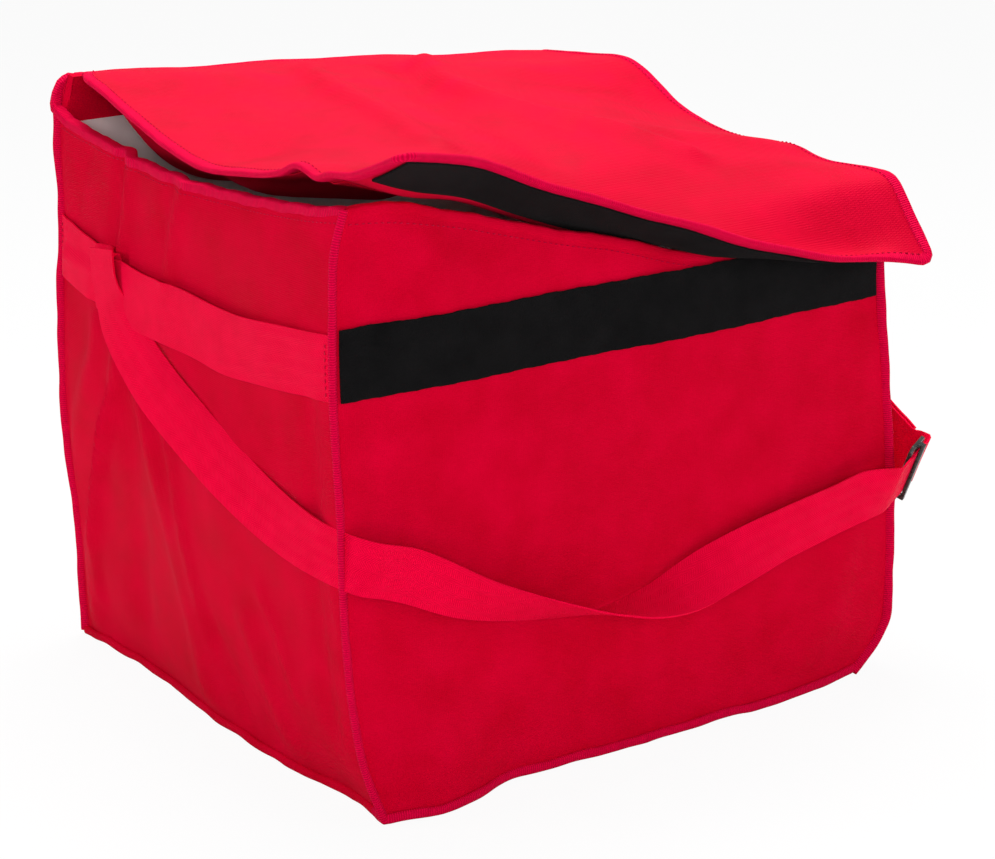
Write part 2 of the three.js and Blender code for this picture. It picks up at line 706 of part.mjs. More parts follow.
// A moulded frame of two outer bars over the webbing and one middle bar under it, joined at the ends
function sliderGeometry() {
  const inside = webbingWidth / 2 + sliderPlay;
  const outside = inside + sliderEnd;
  const low = webbingThickness / 2 + layerGap;
  const chamfer = sliderEnd;
  const halfRun = sliderLength / 2;
  const outline = new THREE.Shape([
    new THREE.Vector2(-outside + chamfer, -halfRun),
    new THREE.Vector2(outside - chamfer, -halfRun),
    new THREE.Vector2(outside, -halfRun + chamfer),
    new THREE.Vector2(outside, halfRun - chamfer),
    new THREE.Vector2(outside - chamfer, halfRun),
    new THREE.Vector2(-outside + chamfer, halfRun),
    new THREE.Vector2(-outside, halfRun - chamfer),
    new THREE.Vector2(-outside, -halfRun + chamfer),
  ]);
  const window = new THREE.Path([
    new THREE.Vector2(-inside, -halfRun + sliderBar),
    new THREE.Vector2(-inside, halfRun - sliderBar),
    new THREE.Vector2(inside, halfRun - sliderBar),
    new THREE.Vector2(inside, -halfRun + sliderBar),
  ]);
  outline.holes.push(window);
  const frame = new THREE.ExtrudeGeometry(outline, { depth: sliderThickness, bevelEnabled: false });
  frame.translate(0, 0, low);
  const bar = new THREE.BoxGeometry(2 * outside, sliderBar, sliderThickness);
  bar.translate(0, 0, -low - sliderThickness / 2);
  let solid = toSolid(frame).add(toSolid(bar));
  for (const end of [-1, 1]) {
    const post = new THREE.BoxGeometry(sliderEnd, sliderBar, 2 * (low + sliderThickness));
    post.translate(end * (inside + sliderEnd / 2), 0, 0);
    solid = solid.add(toSolid(post));
  }
  return toGeometry(solid);
}

function addSlider() {
  const mesh = addMesh(strap, 'strap_slider', sliderGeometry(), buckleGrey);
  const turn = new THREE.Matrix4().makeBasis(sliderAcross, sliderRun, sliderFace.clone().negate());
  mesh.quaternion.setFromRotationMatrix(turn);
  mesh.position.copy(sliderCentre);
}

addWalls();
addBottom();
addPiping();
addRimBinding();
addHingePiping();
addFrontTape();
addSideBands();
addStrapLoops();
addLid();
addFlap();
addStrap();
addSlider();

const model = new THREE.Group();
model.add(bag, lid, flap, strap);

export default model;
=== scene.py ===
"""An insulated pizza delivery bag of red fabric, with its lid lying slack and its strap hanging in front.

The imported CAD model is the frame, and every piece here is built around it. Lengths are in
millimetres while a piece is shaped, and become metres as its points are written into its mesh.
"""
import math

import bpy
import numpy as np
from mathutils import Matrix, Vector


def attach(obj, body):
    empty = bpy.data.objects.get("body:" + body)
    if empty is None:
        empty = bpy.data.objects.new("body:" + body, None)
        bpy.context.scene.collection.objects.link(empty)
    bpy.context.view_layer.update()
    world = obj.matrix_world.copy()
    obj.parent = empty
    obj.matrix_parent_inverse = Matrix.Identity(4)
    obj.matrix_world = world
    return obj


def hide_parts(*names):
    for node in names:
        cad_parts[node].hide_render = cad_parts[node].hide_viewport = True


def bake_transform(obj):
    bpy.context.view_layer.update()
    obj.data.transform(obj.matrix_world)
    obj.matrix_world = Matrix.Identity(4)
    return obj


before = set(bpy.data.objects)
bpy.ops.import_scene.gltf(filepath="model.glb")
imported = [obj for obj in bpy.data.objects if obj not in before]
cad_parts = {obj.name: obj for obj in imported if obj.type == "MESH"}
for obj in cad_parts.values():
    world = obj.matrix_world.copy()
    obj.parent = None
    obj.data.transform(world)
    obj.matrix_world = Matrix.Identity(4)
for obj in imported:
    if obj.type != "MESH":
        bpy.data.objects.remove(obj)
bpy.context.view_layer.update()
bpy.ops.object.select_all(action="DESELECT")

# ---------------------------------------------------------------------------------------------
# The camera stands in front of the bag's left corner, a little above the lid, as for the photograph.
# A long lens keeps the upright seams nearly parallel.
camera_data = bpy.data.cameras.new("photo_camera")
camera_data.lens = 91.75
camera_data.sensor_width = 36
camera = bpy.data.objects.new("photo_camera", camera_data)
bpy.context.scene.collection.objects.link(camera)
right, up, ahead = (0.82651, -0.56272, -0.01479), (0.17999, 0.23929, 0.95412), (0.53337, 0.79125, -0.29906)
camera.matrix_world = Matrix((
    (right[0], up[0], -ahead[0], -1.05997),
    (right[1], up[1], -ahead[1], -1.61582),
    (right[2], up[2], -ahead[2], 0.79593),
    (0, 0, 0, 1),
))
bpy.context.scene.camera = camera
bpy.context.scene.view_settings.view_transform = "Standard"

# ---------------------------------------------------------------------------------------------
# A plain white floor and plain white surroundings, which the camera sees as paper white and which
# also light the bag softly. The floor keeps a faint shadow.


def new_material(name):
    material = bpy.data.materials.new(name)
    material.use_nodes = True
    return material, material.node_tree


floor_size, floor_gap = 12, 0.0004
floor_white, floor_shown_white = (0.82, 0.82, 0.82), 0.94
bpy.ops.mesh.primitive_plane_add(size=floor_size, location=(0, 0, -floor_gap))
floor = bpy.context.object
floor.name = "floor"
floor_material, tree = new_material("white_floor")
nodes, links = tree.nodes, tree.links
nodes.clear()
paint = nodes.new("ShaderNodeBsdfDiffuse")
paint.inputs["Color"].default_value = (*floor_white, 1)
glow = nodes.new("ShaderNodeEmission")
glow.inputs["Color"].default_value = (1, 1, 1, 1)
seen = nodes.new("ShaderNodeLightPath")
share = nodes.new("ShaderNodeMath")
share.operation = "MULTIPLY"
share.inputs[1].default_value = floor_shown_white
mix = nodes.new("ShaderNodeMixShader")
out = nodes.new("ShaderNodeOutputMaterial")
links.new(seen.outputs["Is Camera Ray"], share.inputs[0])
links.new(share.outputs[0], mix.inputs["Fac"])
links.new(paint.outputs[0], mix.inputs[1])
links.new(glow.outputs[0], mix.inputs[2])
links.new(mix.outputs[0], out.inputs["Surface"])
floor.data.materials.append(floor_material)

soft_light_strength, seen_strength = 0.26, 1.0
world = bpy.data.worlds.new("white_room")
bpy.context.scene.world = world
world.use_nodes = True
nodes, links = world.node_tree.nodes, world.node_tree.links
nodes.clear()
soft_light = nodes.new("ShaderNodeBackground")
soft_light.inputs["Color"].default_value = (1, 1, 1, 1)
soft_light.inputs["Strength"].default_value = soft_light_strength
white = nodes.new("ShaderNodeBackground")
white.inputs["Color"].default_value = (1, 1, 1, 1)
white.inputs["Strength"].default_value = seen_strength
seen = nodes.new("ShaderNodeLightPath")
either = nodes.new("ShaderNodeMath")
either.operation = "MAXIMUM"
mix = nodes.new("ShaderNodeMixShader")
out = nodes.new("ShaderNodeOutputWorld")
links.new(seen.outputs["Is Camera Ray"], either.inputs[0])
links.new(seen.outputs["Is Transmission Ray"], either.inputs[1])
links.new(either.outputs[0], mix.inputs["Fac"])
links.new(soft_light.outputs[0], mix.inputs[1])
links.new(white.outputs[0], mix.inputs[2])
links.new(mix.outputs[0], out.inputs["Surface"])


def add_softbox(name, place, aim, size, watts):
    """A square area light, in metres and watts, turned from its place towards a point."""
    data = bpy.data.lights.new(name, "AREA")
    data.shape = "SQUARE"
    data.size = size
    data.energy = watts
    lamp = bpy.data.objects.new(name, data)
    bpy.context.scene.collection.objects.link(lamp)
    lamp.location = place
    lamp.rotation_euler = (Vector(aim) - Vector(place)).to_track_quat("-Z", "Y").to_euler()


add_softbox("overhead_light", (0.3, 0.3, 2.3), (0, 0, 0.4), 1.3, 62)
add_softbox("camera_light", (-1.25, -1.85, 0.95), (0, 0, 0.3), 0.6, 17)
add_softbox("left_light", (-2.0, 0.9, 1.0), (-0.2, 0, 0.25), 0.5, 14)
add_softbox("front_light", (1.6, -1.9, 0.9), (0, -0.2, 0.2), 0.9, 14)

# ---------------------------------------------------------------------------------------------
# The body of the bag: woven red nylon over closed-cell foam, cut as four walls and a bottom that are
# sewn together in piped seams. It stands soft: the seams bulge and lean, the rim has settled most at
# the front right corner, and the left wall is drawn into slack folds under the strap.
MM = 0.001
half_width, half_depth, bag_height = 240.0, 225.0, 440.0
seam_depth, seam_pull = 2.0, 2.0
side_belly, front_belly = 4.0, 6.0
seam_height, seam_reach, foot_fade = 4.5, 9, 45
shell_thickness = 6.0
# The rim's sags and rises from the bag's height; the flap presses the front rim down at the right
left_rim_sag, front_rim_slump, flap_press = 15, 52, 21
right_rim_drop, right_rim_slump = 10, 42
back_rise_left, back_rise_fall = 32, 34


def through(*pairs):
    """A smooth curve through pairs of place and value, with the places rising."""
    places, values = np.array(pairs, float).T
    slopes = np.gradient(values, places)

    def at(x):
        x = np.clip(x, places[0], places[-1])
        k = np.clip(np.searchsorted(places, x) - 1, 0, len(places) - 2)
        step = places[k + 1] - places[k]
        t = (x - places[k]) / step
        return (
            (2 * t**3 - 3 * t**2 + 1) * values[k] + (t**3 - 2 * t**2 + t) * step * slopes[k]
            + (3 * t**2 - 2 * t**3) * values[k + 1] + (t**3 - t**2) * step * slopes[k + 1]
        )

    return at


def ease(low, high, value):
    t = np.clip((value - low) / (high - low), 0, 1)
    return t * t * (3 - 2 * t)


# How far each upright seam leans outwards, in X and in Y, by height
corner_lean = {
    "front_left": (
        through((0, -12), (37, -1), (84, 7), (144, 11), (231, 12), (302, 14), (363, 13), (423, 7), (440, 1)),
        through((0, 4), (60, 1), (200, 0), (440, 0)),
    ),
    "front_right": (
        through(
            (0, -25), (9, -12), (22, 3), (38, 12), (60, 14), (91, 14), (183, 10), (248, 4), (314, -4),
            (388, -4),
        ),
        through((0, -3), (60, 1), (200, 1), (388, 0)),
    ),
    "back_left": (
        through((0, 2), (99, 3), (205, 6), (287, 4), (372, 0), (405, 0), (438, -1), (456, -1), (474, -7)),
        through((0, 3), (99, 2), (205, 7), (287, 3), (372, -2), (405, -2), (438, -3), (456, -4), (474, -7)),
    ),
    "back_right": (
        through((0, -2), (120, 5), (260, 5), (430, 0)),
        through((0, -2), (120, 5), (260, 4), (430, 0)),
    ),
}
wall_corners = {
    "front": ("front_left", "front_right"), "back": ("back_left", "back_right"),
    "left": ("front_left", "back_left"), "right": ("front_right", "back_right"),
}
# How far the foot of a wall strays outwards along its length
foot_stray = {
    "left": through((-225, 0), (-181, -6), (-123, 2), (-30, 6), (98, -4), (164, -2), (225, 0)),
    "front": through(
        (-240, 0), (-226, 5), (-192, 15), (-150, 9), (-124, 0), (-74, 1), (65, 8), (129, 10), (240, 0),
    ),
    "right": through((-225, 0), (-90, 5), (60, -3), (225, 0)),
    "back": through((-240, 0), (-60, 4), (110, -3), (240, 0)),
}
# Slack folds: a line of (place along the wall, height), half width, and how far it stands out
wall_folds = {
    "left": [
        ([(150, 285), (158, 255), (198, 195), (236, 123)], 13, 6.0),
        ([(112, 262), (118, 240), (159, 171), (198, 85), (202, 14)], 12, 6.5),
        ([(75, 235), (55, 195), (29, 144), (10, 83), (0, 20)], 15, 5.0),
        ([(134, 235), (172, 170), (204, 110)], 9, -4.0),
        ([(92, 225), (98, 150), (110, 60)], 18, -4.5),
        ([(50, 256), (28, 199), (12, 155), (-3, 112), (-16, 70)], 5, 3.0),
        ([(66, 250), (44, 199), (28, 150), (12, 100)], 9, -3.2),
        ([(125, 236), (145, 190), (168, 145), (185, 100), (186, 45)], 6, 3.2),
        ([(95, 256), (120, 211), (145, 172)], 6, -2.6),
        ([(-101, 142), (-125, 111), (-146, 72)], 6, 2.4),
        ([(-197, 194), (-204, 137), (-211, 80)], 5, -2.4),
        ([(84, 425), (96, 372), (102, 352)], 8, 4.5),
        ([(106, 425), (116, 372), (120, 352)], 8, -4.0),
        ([(-9, 418), (8, 382), (19, 352)], 7, 3.5),
        ([(14, 418), (30, 382)], 8, -3.0),
        ([(-80, 110), (-95, 77), (-122, 20)], 12, 3.5),
        ([(-20, 90), (-50, 40), (-60, 12)], 12, -2.5),
        ([(-190, 300), (-186, 180), (-192, 70)], 11, -4.0),
        ([(-205, 130), (-212, 90), (-206, 55)], 7, 2.5),
        ([(160, 420), (180, 380), (200, 352)], 10, -2.0),
    ],
    "front": [
        ([(-214, 408), (-207, 380), (-217, 362)], 9, -4.5),
        ([(-175, 418), (-165, 396), (-168, 370)], 14, 3.0),
        ([(15, 392), (22, 378), (10, 366)], 10, -2.0),
        ([(-222, 300), (-214, 180), (-222, 70)], 11, -3.0),
        ([(-200, 60), (-150, 28), (-90, 16)], 16, 3.0),
        ([(205, 120), (190, 60), (150, 24)], 16, 3.5),
        ([(150, 150), (185, 100), (218, 70)], 14, -2.0),
    ],
    "right": [
        ([(-180, 300), (-120, 210), (-100, 120)], 18, 4.0),
        ([(-60, 290), (-40, 200), (-60, 60)], 20, -4.0),
        ([(20, 300), (60, 180), (90, 60)], 18, 4.0),
        ([(150, 390), (160, 260), (140, 120)], 20, 3.0),
        ([(-150, 90), (-170, 50), (-200, 20)], 14, 3.0),
    ],
    "back": [
        ([(-150, 430), (-120, 300), (-140, 140)], 26, 4.0),
        ([(40, 420), (70, 250), (50, 90)], 30, -4.0),
        ([(170, 380), (150, 220), (180, 60)], 22, 4.0),
        ([(-60, 120), (-30, 60), (10, 20)], 18, 3.0),
    ],
}


def fold_rise(folds, along, z):
    """How far folds lift the cloth at points of a wall."""
    rise = np.zeros(np.shape(along))
    for line, half, lift in folds:
        nearest = np.full(np.shape(along), 1e9)
        for (a0, z0), (a1, z1) in zip(line, line[1:]):
            da, dz = a1 - a0, z1 - z0
            t = np.clip(((along - a0) * da + (z - z0) * dz) / (da * da + dz * dz), 0, 1)
            nearest = np.minimum(nearest, np.hypot(along - a0 - t * da, z - z0 - t * dz))
        rise = rise + lift * np.exp(-((nearest / half) ** 2))
    return rise


def rim_height(wall, s):
    """Height of the rim at a share s of a wall, from -1 to 1 along X or Y."""
    s = np.asarray(s, float)
    if wall == "front":
        x = s * half_width
        pressed = ease(-28, 90, x) * ease(235, 160, x)
        return bag_height - front_rim_slump * ease(-240, 40, x) - flap_press * pressed
    if wall == "left":
        return bag_height - left_rim_sag * (1 - s**2)
    if wall == "right":
        return bag_height - right_rim_drop - right_rim_slump * ease(112.5, -22.5, s * half_depth)
    return bag_height + back_rise_left - back_rise_fall * (s + 1) / 2


def wall_point(wall, s, z, depth):
    """Points of a wall, at a depth behind the piped outline."""
    s, z = np.broadcast_arrays(np.asarray(s, float), np.asarray(z, float))
    on_side = wall in ("left", "right")
    axis = 0 if on_side else 1
    reach, half = (half_depth, half_width) if on_side else (half_width, half_depth)
    first, last = (corner_lean[c] for c in wall_corners[wall])
    share = (s + 1) / 2
    along = s * (reach - depth - seam_pull) - first[1 - axis](z) * (1 - share) + last[1 - axis](z) * share
    up = np.clip(z / bag_height, 0, 1)
    inner = 1 - s**2
    out = half - depth + first[axis](z) * (1 - share) + last[axis](z) * share
    out = out + (side_belly if on_side else front_belly) * inner * 4 * up * (1 - up)
    out = out - seam_pull * np.exp(-(1 - np.abs(s)) * reach / seam_reach)
    out = out - seam_pull * np.exp(-np.maximum(z - seam_height, 0) / seam_reach) * np.minimum(inner * 12, 1)
    out = out + foot_stray[wall](along) * np.exp(-z / foot_fade)
    slack = (
        1.3 * np.sin(along / 31 + z / 57 + 0.7 * axis) + 0.9 * np.sin(z / 23 - along / 49 + 2)
        + 0.5 * np.sin(along / 13 - z / 17) * np.sin(z / 41)
    )
    out = out + (slack + fold_rise(wall_folds[wall], along, z)) * (1 - s**10) * ease(0, 30, z)
    sign = -1 if wall in ("left", "front") else 1
    x, y = (sign * out, along) if on_side else (along, sign * out)
    return np.stack([x, y, z], -1)


def even_out(s):
    """Moves even steps closer together near the seams."""
    return s * (1.25 - 0.25 * s * s)


def on_bag(cube, depth, foot, bottom, rim):
    """Points of a cube from -1 to 1, moved onto the bag at a depth; its top is open."""
    a, b, c = even_out(cube[:, 0]), even_out(cube[:, 1]), even_out(cube[:, 2])
    points = np.zeros_like(cube)
    face = 0.9999
    for wall, here, s in (
        ("left", a < -face, b), ("right", a > face, b), ("front", b < -face, a), ("back", b > face, a),
    ):
        top = rim(wall, s[here])
        z = foot + (top - foot) * (c[here] + 1) / 2
        points[here] = wall_point(wall, s[here], z, depth)
    inside = (c < -face) & (np.abs(a) < face) & (np.abs(b) < face)
    p, q = a[inside], b[inside]
    foot_of = {w: wall_point(w, q if w in ("left", "right") else p, foot, depth) for w in wall_corners}
    x = foot_of["left"][:, 0] * (1 - p) / 2 + foot_of["right"][:, 0] * (1 + p) / 2
    y = foot_of["front"][:, 1] * (1 - q) / 2 + foot_of["back"][:, 1] * (1 + q) / 2
    edge = np.maximum(np.abs(p), np.abs(q)) ** 24
    ripple = 0.9 + 0.5 * np.sin(x / 37 + 1) * np.sin(y / 29) + 0.4 * np.sin(x / 17 - y / 23)
    points[inside] = np.stack([x, y, (bottom + ripple) * (1 - edge) + foot * edge], -1)
    return points


def set_points(piece, points):
    piece.data.vertices.foreach_set("co", (np.asarray(points) * MM).astype(np.float32).ravel())
    piece.data.update()


def get_points(piece):
    co = np.zeros(len(piece.data.vertices) * 3, np.float32)
    piece.data.vertices.foreach_get("co", co)
    return co.reshape(-1, 3).astype(float)


def open_box(name, cuts):
    """A cube without its top, with each side cut into even squares."""
    bpy.ops.mesh.primitive_cube_add(size=2)
    piece = bpy.context.object
    piece.name = piece.data.name = name
    bpy.ops.object.mode_set(mode="EDIT")
    bpy.ops.mesh.select_all(action="SELECT")
    bpy.ops.mesh.subdivide(number_cuts=cuts)
    bpy.ops.mesh.select_all(action="DESELECT")
    bpy.ops.object.mode_set(mode="OBJECT")
    for face in piece.data.polygons:
        face.select = face.center.z > 0.999
    bpy.ops.object.mode_set(mode="EDIT")
    bpy.ops.mesh.select_mode(type="FACE")
    bpy.ops.mesh.delete(type="FACE")
    bpy.ops.object.mode_set(mode="OBJECT")
    return piece


def apply_solidify(piece, thickness, offset):
    thicken = piece.modifiers.new("thickness", "SOLIDIFY")
    thicken.thickness = thickness * MM
    thicken.offset = offset
    bpy.ops.object.modifier_apply(modifier=thicken.name)


def smooth_shading(degrees=50):
    """Smooths the active piece, but for edges sharper than this."""
    bpy.ops.object.shade_smooth_by_angle(angle=math.radians(degrees))


def clean_mesh(merge=None, fill=False):
    """Merges close points of the active piece, fills its open ends and turns its faces outwards."""
    bpy.ops.object.mode_set(mode="EDIT")
    bpy.ops.mesh.select_all(action="SELECT")
    if merge is not None:
        bpy.ops.mesh.remove_doubles(threshold=merge * MM)
    if fill:
        bpy.ops.mesh.fill_holes(sides=0)
        bpy.ops.mesh.select_all(action="SELECT")
    bpy.ops.mesh.normals_make_consistent(inside=False)
    bpy.ops.object.mode_set(mode="OBJECT")


def shell_rim(wall, s):
    """The rim, where the back wall steps up from the side walls to carry the lid."""
    if wall != "back":
        return rim_height(wall, s)
    left, right_side = rim_height("left", 1), rim_height("right", 1)
    rise = rim_height("back", s)
    step = 0.985
    rise = rise + (left - rise) * ease(-step, -1, s)
    return rise + (right_side - rise) * ease(step, 1, s)


shell = open_box("bag_shell", 71)
set_points(shell, on_bag(get_points(shell), seam_depth, seam_height, 0.0, shell_rim))
apply_solidify(shell, shell_thickness, -1)
smooth_shading()

# Woven nylon: fine crossed threads, a slightly uneven dye and a soft sheen. The small steps that all
# the cloths share come first, and each adds one kind of node to a material's tree.


def new_surface(name):
    """A material, its tree, and the coordinates of the piece that wears it."""
    material, tree = new_material(name)
    return material, tree, tree.nodes.new("ShaderNodeTexCoord").outputs["Object"]


def drive(tree, source, socket):
    tree.links.new(source, tree.nodes["Principled BSDF"].inputs[socket])


def set_sockets(tree, values):
    for socket, value in values.items():
        tree.nodes["Principled BSDF"].inputs[socket].default_value = value


def ramp(tree, source, low, high):
    colours = tree.nodes.new("ShaderNodeValToRGB")
    for stop, position, colour in zip(colours.color_ramp.elements, (0.3, 0.7), (low, high)):
        stop.position, stop.color = position, (*colour, 1)
    tree.links.new(source, colours.inputs["Fac"])
    return colours.outputs["Color"]


def noise(tree, vector, scale, detail=3):
    cloud = tree.nodes.new("ShaderNodeTexNoise")
    cloud.inputs["Scale"].default_value = scale
    cloud.inputs["Detail"].default_value = detail
    tree.links.new(vector, cloud.inputs["Vector"])
    return cloud.outputs["Fac"]


def calc(tree, operation, first, second):
    node = tree.nodes.new("ShaderNodeMath")
    node.operation = operation
    for socket, value in zip(node.inputs, (first, second)):
        if isinstance(value, (int, float)):
            socket.default_value = value
        else:
            tree.links.new(value, socket)
    return node.outputs[0]


def blended(tree, first, share, second):
    """A share of the first and the rest of the second."""
    return calc(
        tree, "ADD", calc(tree, "MULTIPLY", first, share), calc(tree, "MULTIPLY", second, 1 - share)
    )


def threads(tree, vector, direction, scale):
    wave = tree.nodes.new("ShaderNodeTexWave")
    wave.bands_direction = direction
    wave.inputs["Scale"].default_value = scale
    wave.inputs["Distortion"].default_value = 0.6
    wave.inputs["Detail"].default_value = 1
    wave.inputs["Detail Scale"].default_value = 2
    tree.links.new(vector, wave.inputs["Vector"])
    return wave.outputs["Fac"]


def bump(tree, height, strength, distance, before=None):
    """Relief from a height, over the relief that comes before it."""
    node = tree.nodes.new("ShaderNodeBump")
    node.inputs["Strength"].default_value = strength
    node.inputs["Distance"].default_value = distance
    tree.links.new(height, node.inputs["Height"])
    if before is not None:
        tree.links.new(before, node.inputs["Normal"])
    return node.outputs["Normal"]


def woven_fabric(name, low, high, sheen, gloss):
    material, tree, place = new_surface(name)
    blotch = noise(tree, place, 26, 4)
    fleck = noise(tree, place, 900, 2)
    drive(tree, ramp(tree, blended(tree, blotch, 0.7, fleck), low, high), "Base Color")
    cloth = None
    for direction in "XYZ":
        line = threads(tree, place, direction, 215)
        cloth = line if cloth is None else calc(tree, "ADD", cloth, line)
    creases = bump(tree, noise(tree, place, 11, 5), 0.35, 0.004)
    fine = bump(tree, fleck, 0.25, 0.0006, creases)
    drive(tree, bump(tree, cloth, 0.25, 0.0005, fine), "Normal")
    drive(tree, ramp(tree, blotch, (0.5,) * 3, (0.62,) * 3), "Roughness")
    set_sockets(tree, {
        "Specular IOR Level": gloss, "Specular Tint": (1, 0.15, 0.3, 1),
        "Sheen Weight": sheen, "Sheen Roughness": 0.45, "Sheen Tint": (1, 0.12, 0.25, 1),
    })
    return material


red_fabric = woven_fabric("red_woven_nylon", (0.52, 0.0003, 0.015), (0.66, 0.0006, 0.028), 0.02, 0.012)
shell.data.materials.append(red_fabric)
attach(shell, "bag")
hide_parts("cover_front", "cover_back", "cover_left", "cover_right", "cover_bottom",
            "foam_front", "foam_back", "foam_left", "foam_right", "foam_bottom")

# ---------------------------------------------------------------------------------------------
# The lining: thin coated grey cloth that hangs inside the foam and is sewn in under the rim binding.
# On the back wall it ends a little lower, below the red facing of the lid's hinge.


lining_depth, lining_foot, lining_bottom, lining_thickness = 9.6, 8.8, 7.6, 0.7
back_lining_top, lining_below_rim = 436, 1.5


def lining_rim(wall, s):
    return np.minimum(rim_height(wall, s), back_lining_top) - lining_below_rim


lining = open_box("bag_lining", 47)
set_points(lining, on_bag(get_points(lining), lining_depth, lining_foot, lining_bottom, lining_rim))
apply_solidify(lining, lining_thickness, -1)
smooth_shading()
grey_cloth, tree, place = new_surface("grey_coated_lining")
puckers = noise(tree, place, 45, 4)
# The cloth itself is light grey. The pinkish tint in its colour is painted red bounce light from the bag's
# walls.
drive(tree, ramp(tree, puckers, (0.82, 0.74, 0.73), (0.93, 0.85, 0.84)), "Base Color")
drive(tree, ramp(tree, puckers, (0.38,) * 3, (0.52,) * 3), "Roughness")
grain = bump(tree, threads(tree, place, "Z", 130), 0.1, 0.0005)
drive(tree, bump(tree, puckers, 0.3, 0.002, grain), "Normal")
lining.data.materials.append(grey_cloth)
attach(lining, "bag")
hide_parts("lining_front", "lining_back", "lining_left", "lining_right", "lining_bottom")

# ---------------------------------------------------------------------------------------------
# Piping: a ribbed tape folded round the raw edges of each seam and sewn down. One runs up each
# corner, and one goes all the way round the base and curls where the bottom is slack.


def sheet_grid(name, columns, rows, place, run, across):
    """A grid placed by a function of u and v from 0 to 1, with its UV map in metres."""
    bpy.ops.mesh.primitive_grid_add(x_subdivisions=columns, y_subdivisions=rows, size=2)
    piece = bpy.context.object
    piece.name = piece.data.name = name
    flat = get_points(piece)
    set_points(piece, place((flat[:, 0] + 1) / 2, (flat[:, 1] + 1) / 2))
    layer = piece.data.uv_layers[0].data
    uv = np.zeros(len(layer) * 2, np.float32)
    layer.foreach_get("uv", uv)
    uv = uv.reshape(-1, 2) * (run * MM, across * MM)
    layer.foreach_set("uv", uv.astype(np.float32).ravel())
    return piece


def resample(line, spacing, closed=False):
    """Points at even steps along a line of points."""
    line = np.asarray(line, float)
    if closed:
        line = np.vstack([line, line[:1]])
    length = np.concatenate([[0], np.cumsum(np.linalg.norm(np.diff(line, axis=0), axis=1))])
    steps = max(int(round(length[-1] / spacing)), 2)
    even = np.linspace(0, length[-1], steps + 1)
    return np.stack([np.interp(even, length, line[:, k]) for k in range(3)], -1), length[-1]


def directions(line, closed=False):
    if closed:
        along = np.roll(line, -1, 0) - np.roll(line, 1, 0)
    else:
        along = np.gradient(line, axis=0)
    return along / np.linalg.norm(along, axis=1)[:, None]


def tape_tube(
    name, line, side, half_across, half_up, spacing=4.0, sides=12, square=2.6, closed=False, wobble=0.0
):
    """A folded tape as a closed tube along a line.

    Side is the direction of its width, square how square its section is, and wobble the share by
    which its thickness varies.
    """
    line, length = resample(line, spacing, closed)
    if closed:
        line = line[:-1]
    count = len(line)
    along = directions(line, closed)
    side = np.broadcast_to(np.asarray(side, float), (count, 3)) if np.ndim(side) == 1 else side(line)
    side = side - along * np.sum(side * along, 1)[:, None]
    side = side / np.linalg.norm(side, axis=1)[:, None]
    upward = np.cross(along, side)
    phase = np.arange(count) * spacing
    columns = count if closed else count - 1

    def place(u, v):
        k = np.rint(u * columns).astype(int) % count
        turn = v * 2 * math.pi
        grow = 1 + wobble * (np.sin(phase[k] / 9.0) * 0.6 + np.sin(phase[k] / 4.1 + 1) * 0.4)
        c, s = np.cos(turn), np.sin(turn)
        x = np.sign(c) * np.abs(c) ** (2 / square) * half_across * grow
        y = np.sign(s) * np.abs(s) ** (2 / square) * half_up * grow
        return line[k] + side[k] * x[:, None] + upward[k] * y[:, None]

    piece = sheet_grid(name, columns, sides, place, length, 4 * (half_across + half_up))
    clean_mesh(merge=0.02, fill=not closed)
    smooth_shading(60)
    return piece


tape_sheen = {
    "Specular IOR Level": 0.03, "Specular Tint": (1, 0.2, 0.4, 1),
    "Sheen Weight": 0.04, "Sheen Roughness": 0.4, "Sheen Tint": (1, 0.15, 0.35, 1),
}


def ribbed_tape(name, low, high, rib_scale, rib_depth):
    """Narrow tape with ribs across it, read from the UV map, which runs along the tape."""
    material, tree, place = new_surface(name)
    ribs = threads(tree, tree.nodes.new("ShaderNodeUVMap").outputs["UV"], "X", rib_scale)
    cloud = noise(tree, place, 140)
    drive(tree, ramp(tree, blended(tree, ribs, 0.5, cloud), low, high), "Base Color")
    drive(tree, bump(tree, ribs, 0.6, rib_depth, bump(tree, cloud, 0.3, 0.0012)), "Normal")
    set_sockets(tree, {"Roughness": 0.6, **tape_sheen})
    return material


pink_tape = ribbed_tape("pink_red_edge_tape", (0.56, 0.0004, 0.032), (0.80, 0.0012, 0.056), 180, 0.0009)


def corner_line(corner, low, high, outward):
    """Points up a corner, pushed outwards from where its walls meet."""
    z = np.linspace(low, high, 90)
    wall = "front" if corner.startswith("front") else "back"
    s = -1.0 if corner.endswith("left") else 1.0
    points = wall_point(wall, s, z, seam_depth)
    push = np.array([s, -1.0 if wall == "front" else 1.0, 0.0]) / math.sqrt(2)
    wave = outward + 0.5 * np.sin(z / 21) + 0.35 * np.sin(z / 8.3 + 2)
    return points + push * wave[:, None]


for corner in corner_lean:
    s = -1.0 if corner.endswith("left") else 1.0
    front = -1.0 if corner.startswith("front") else 1.0
    top = float(rim_height("left" if s < 0 else "right", front)) + 1.0
    line = corner_line(corner, 3.6, top, 1.4)
    piece = tape_tube("seam_piping_" + corner, line, (s, -front, 0), 2.6, 4.0, wobble=0.06)
    piece.data.materials.append(pink_tape)
    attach(piece, "bag")
    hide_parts("piping_" + corner)

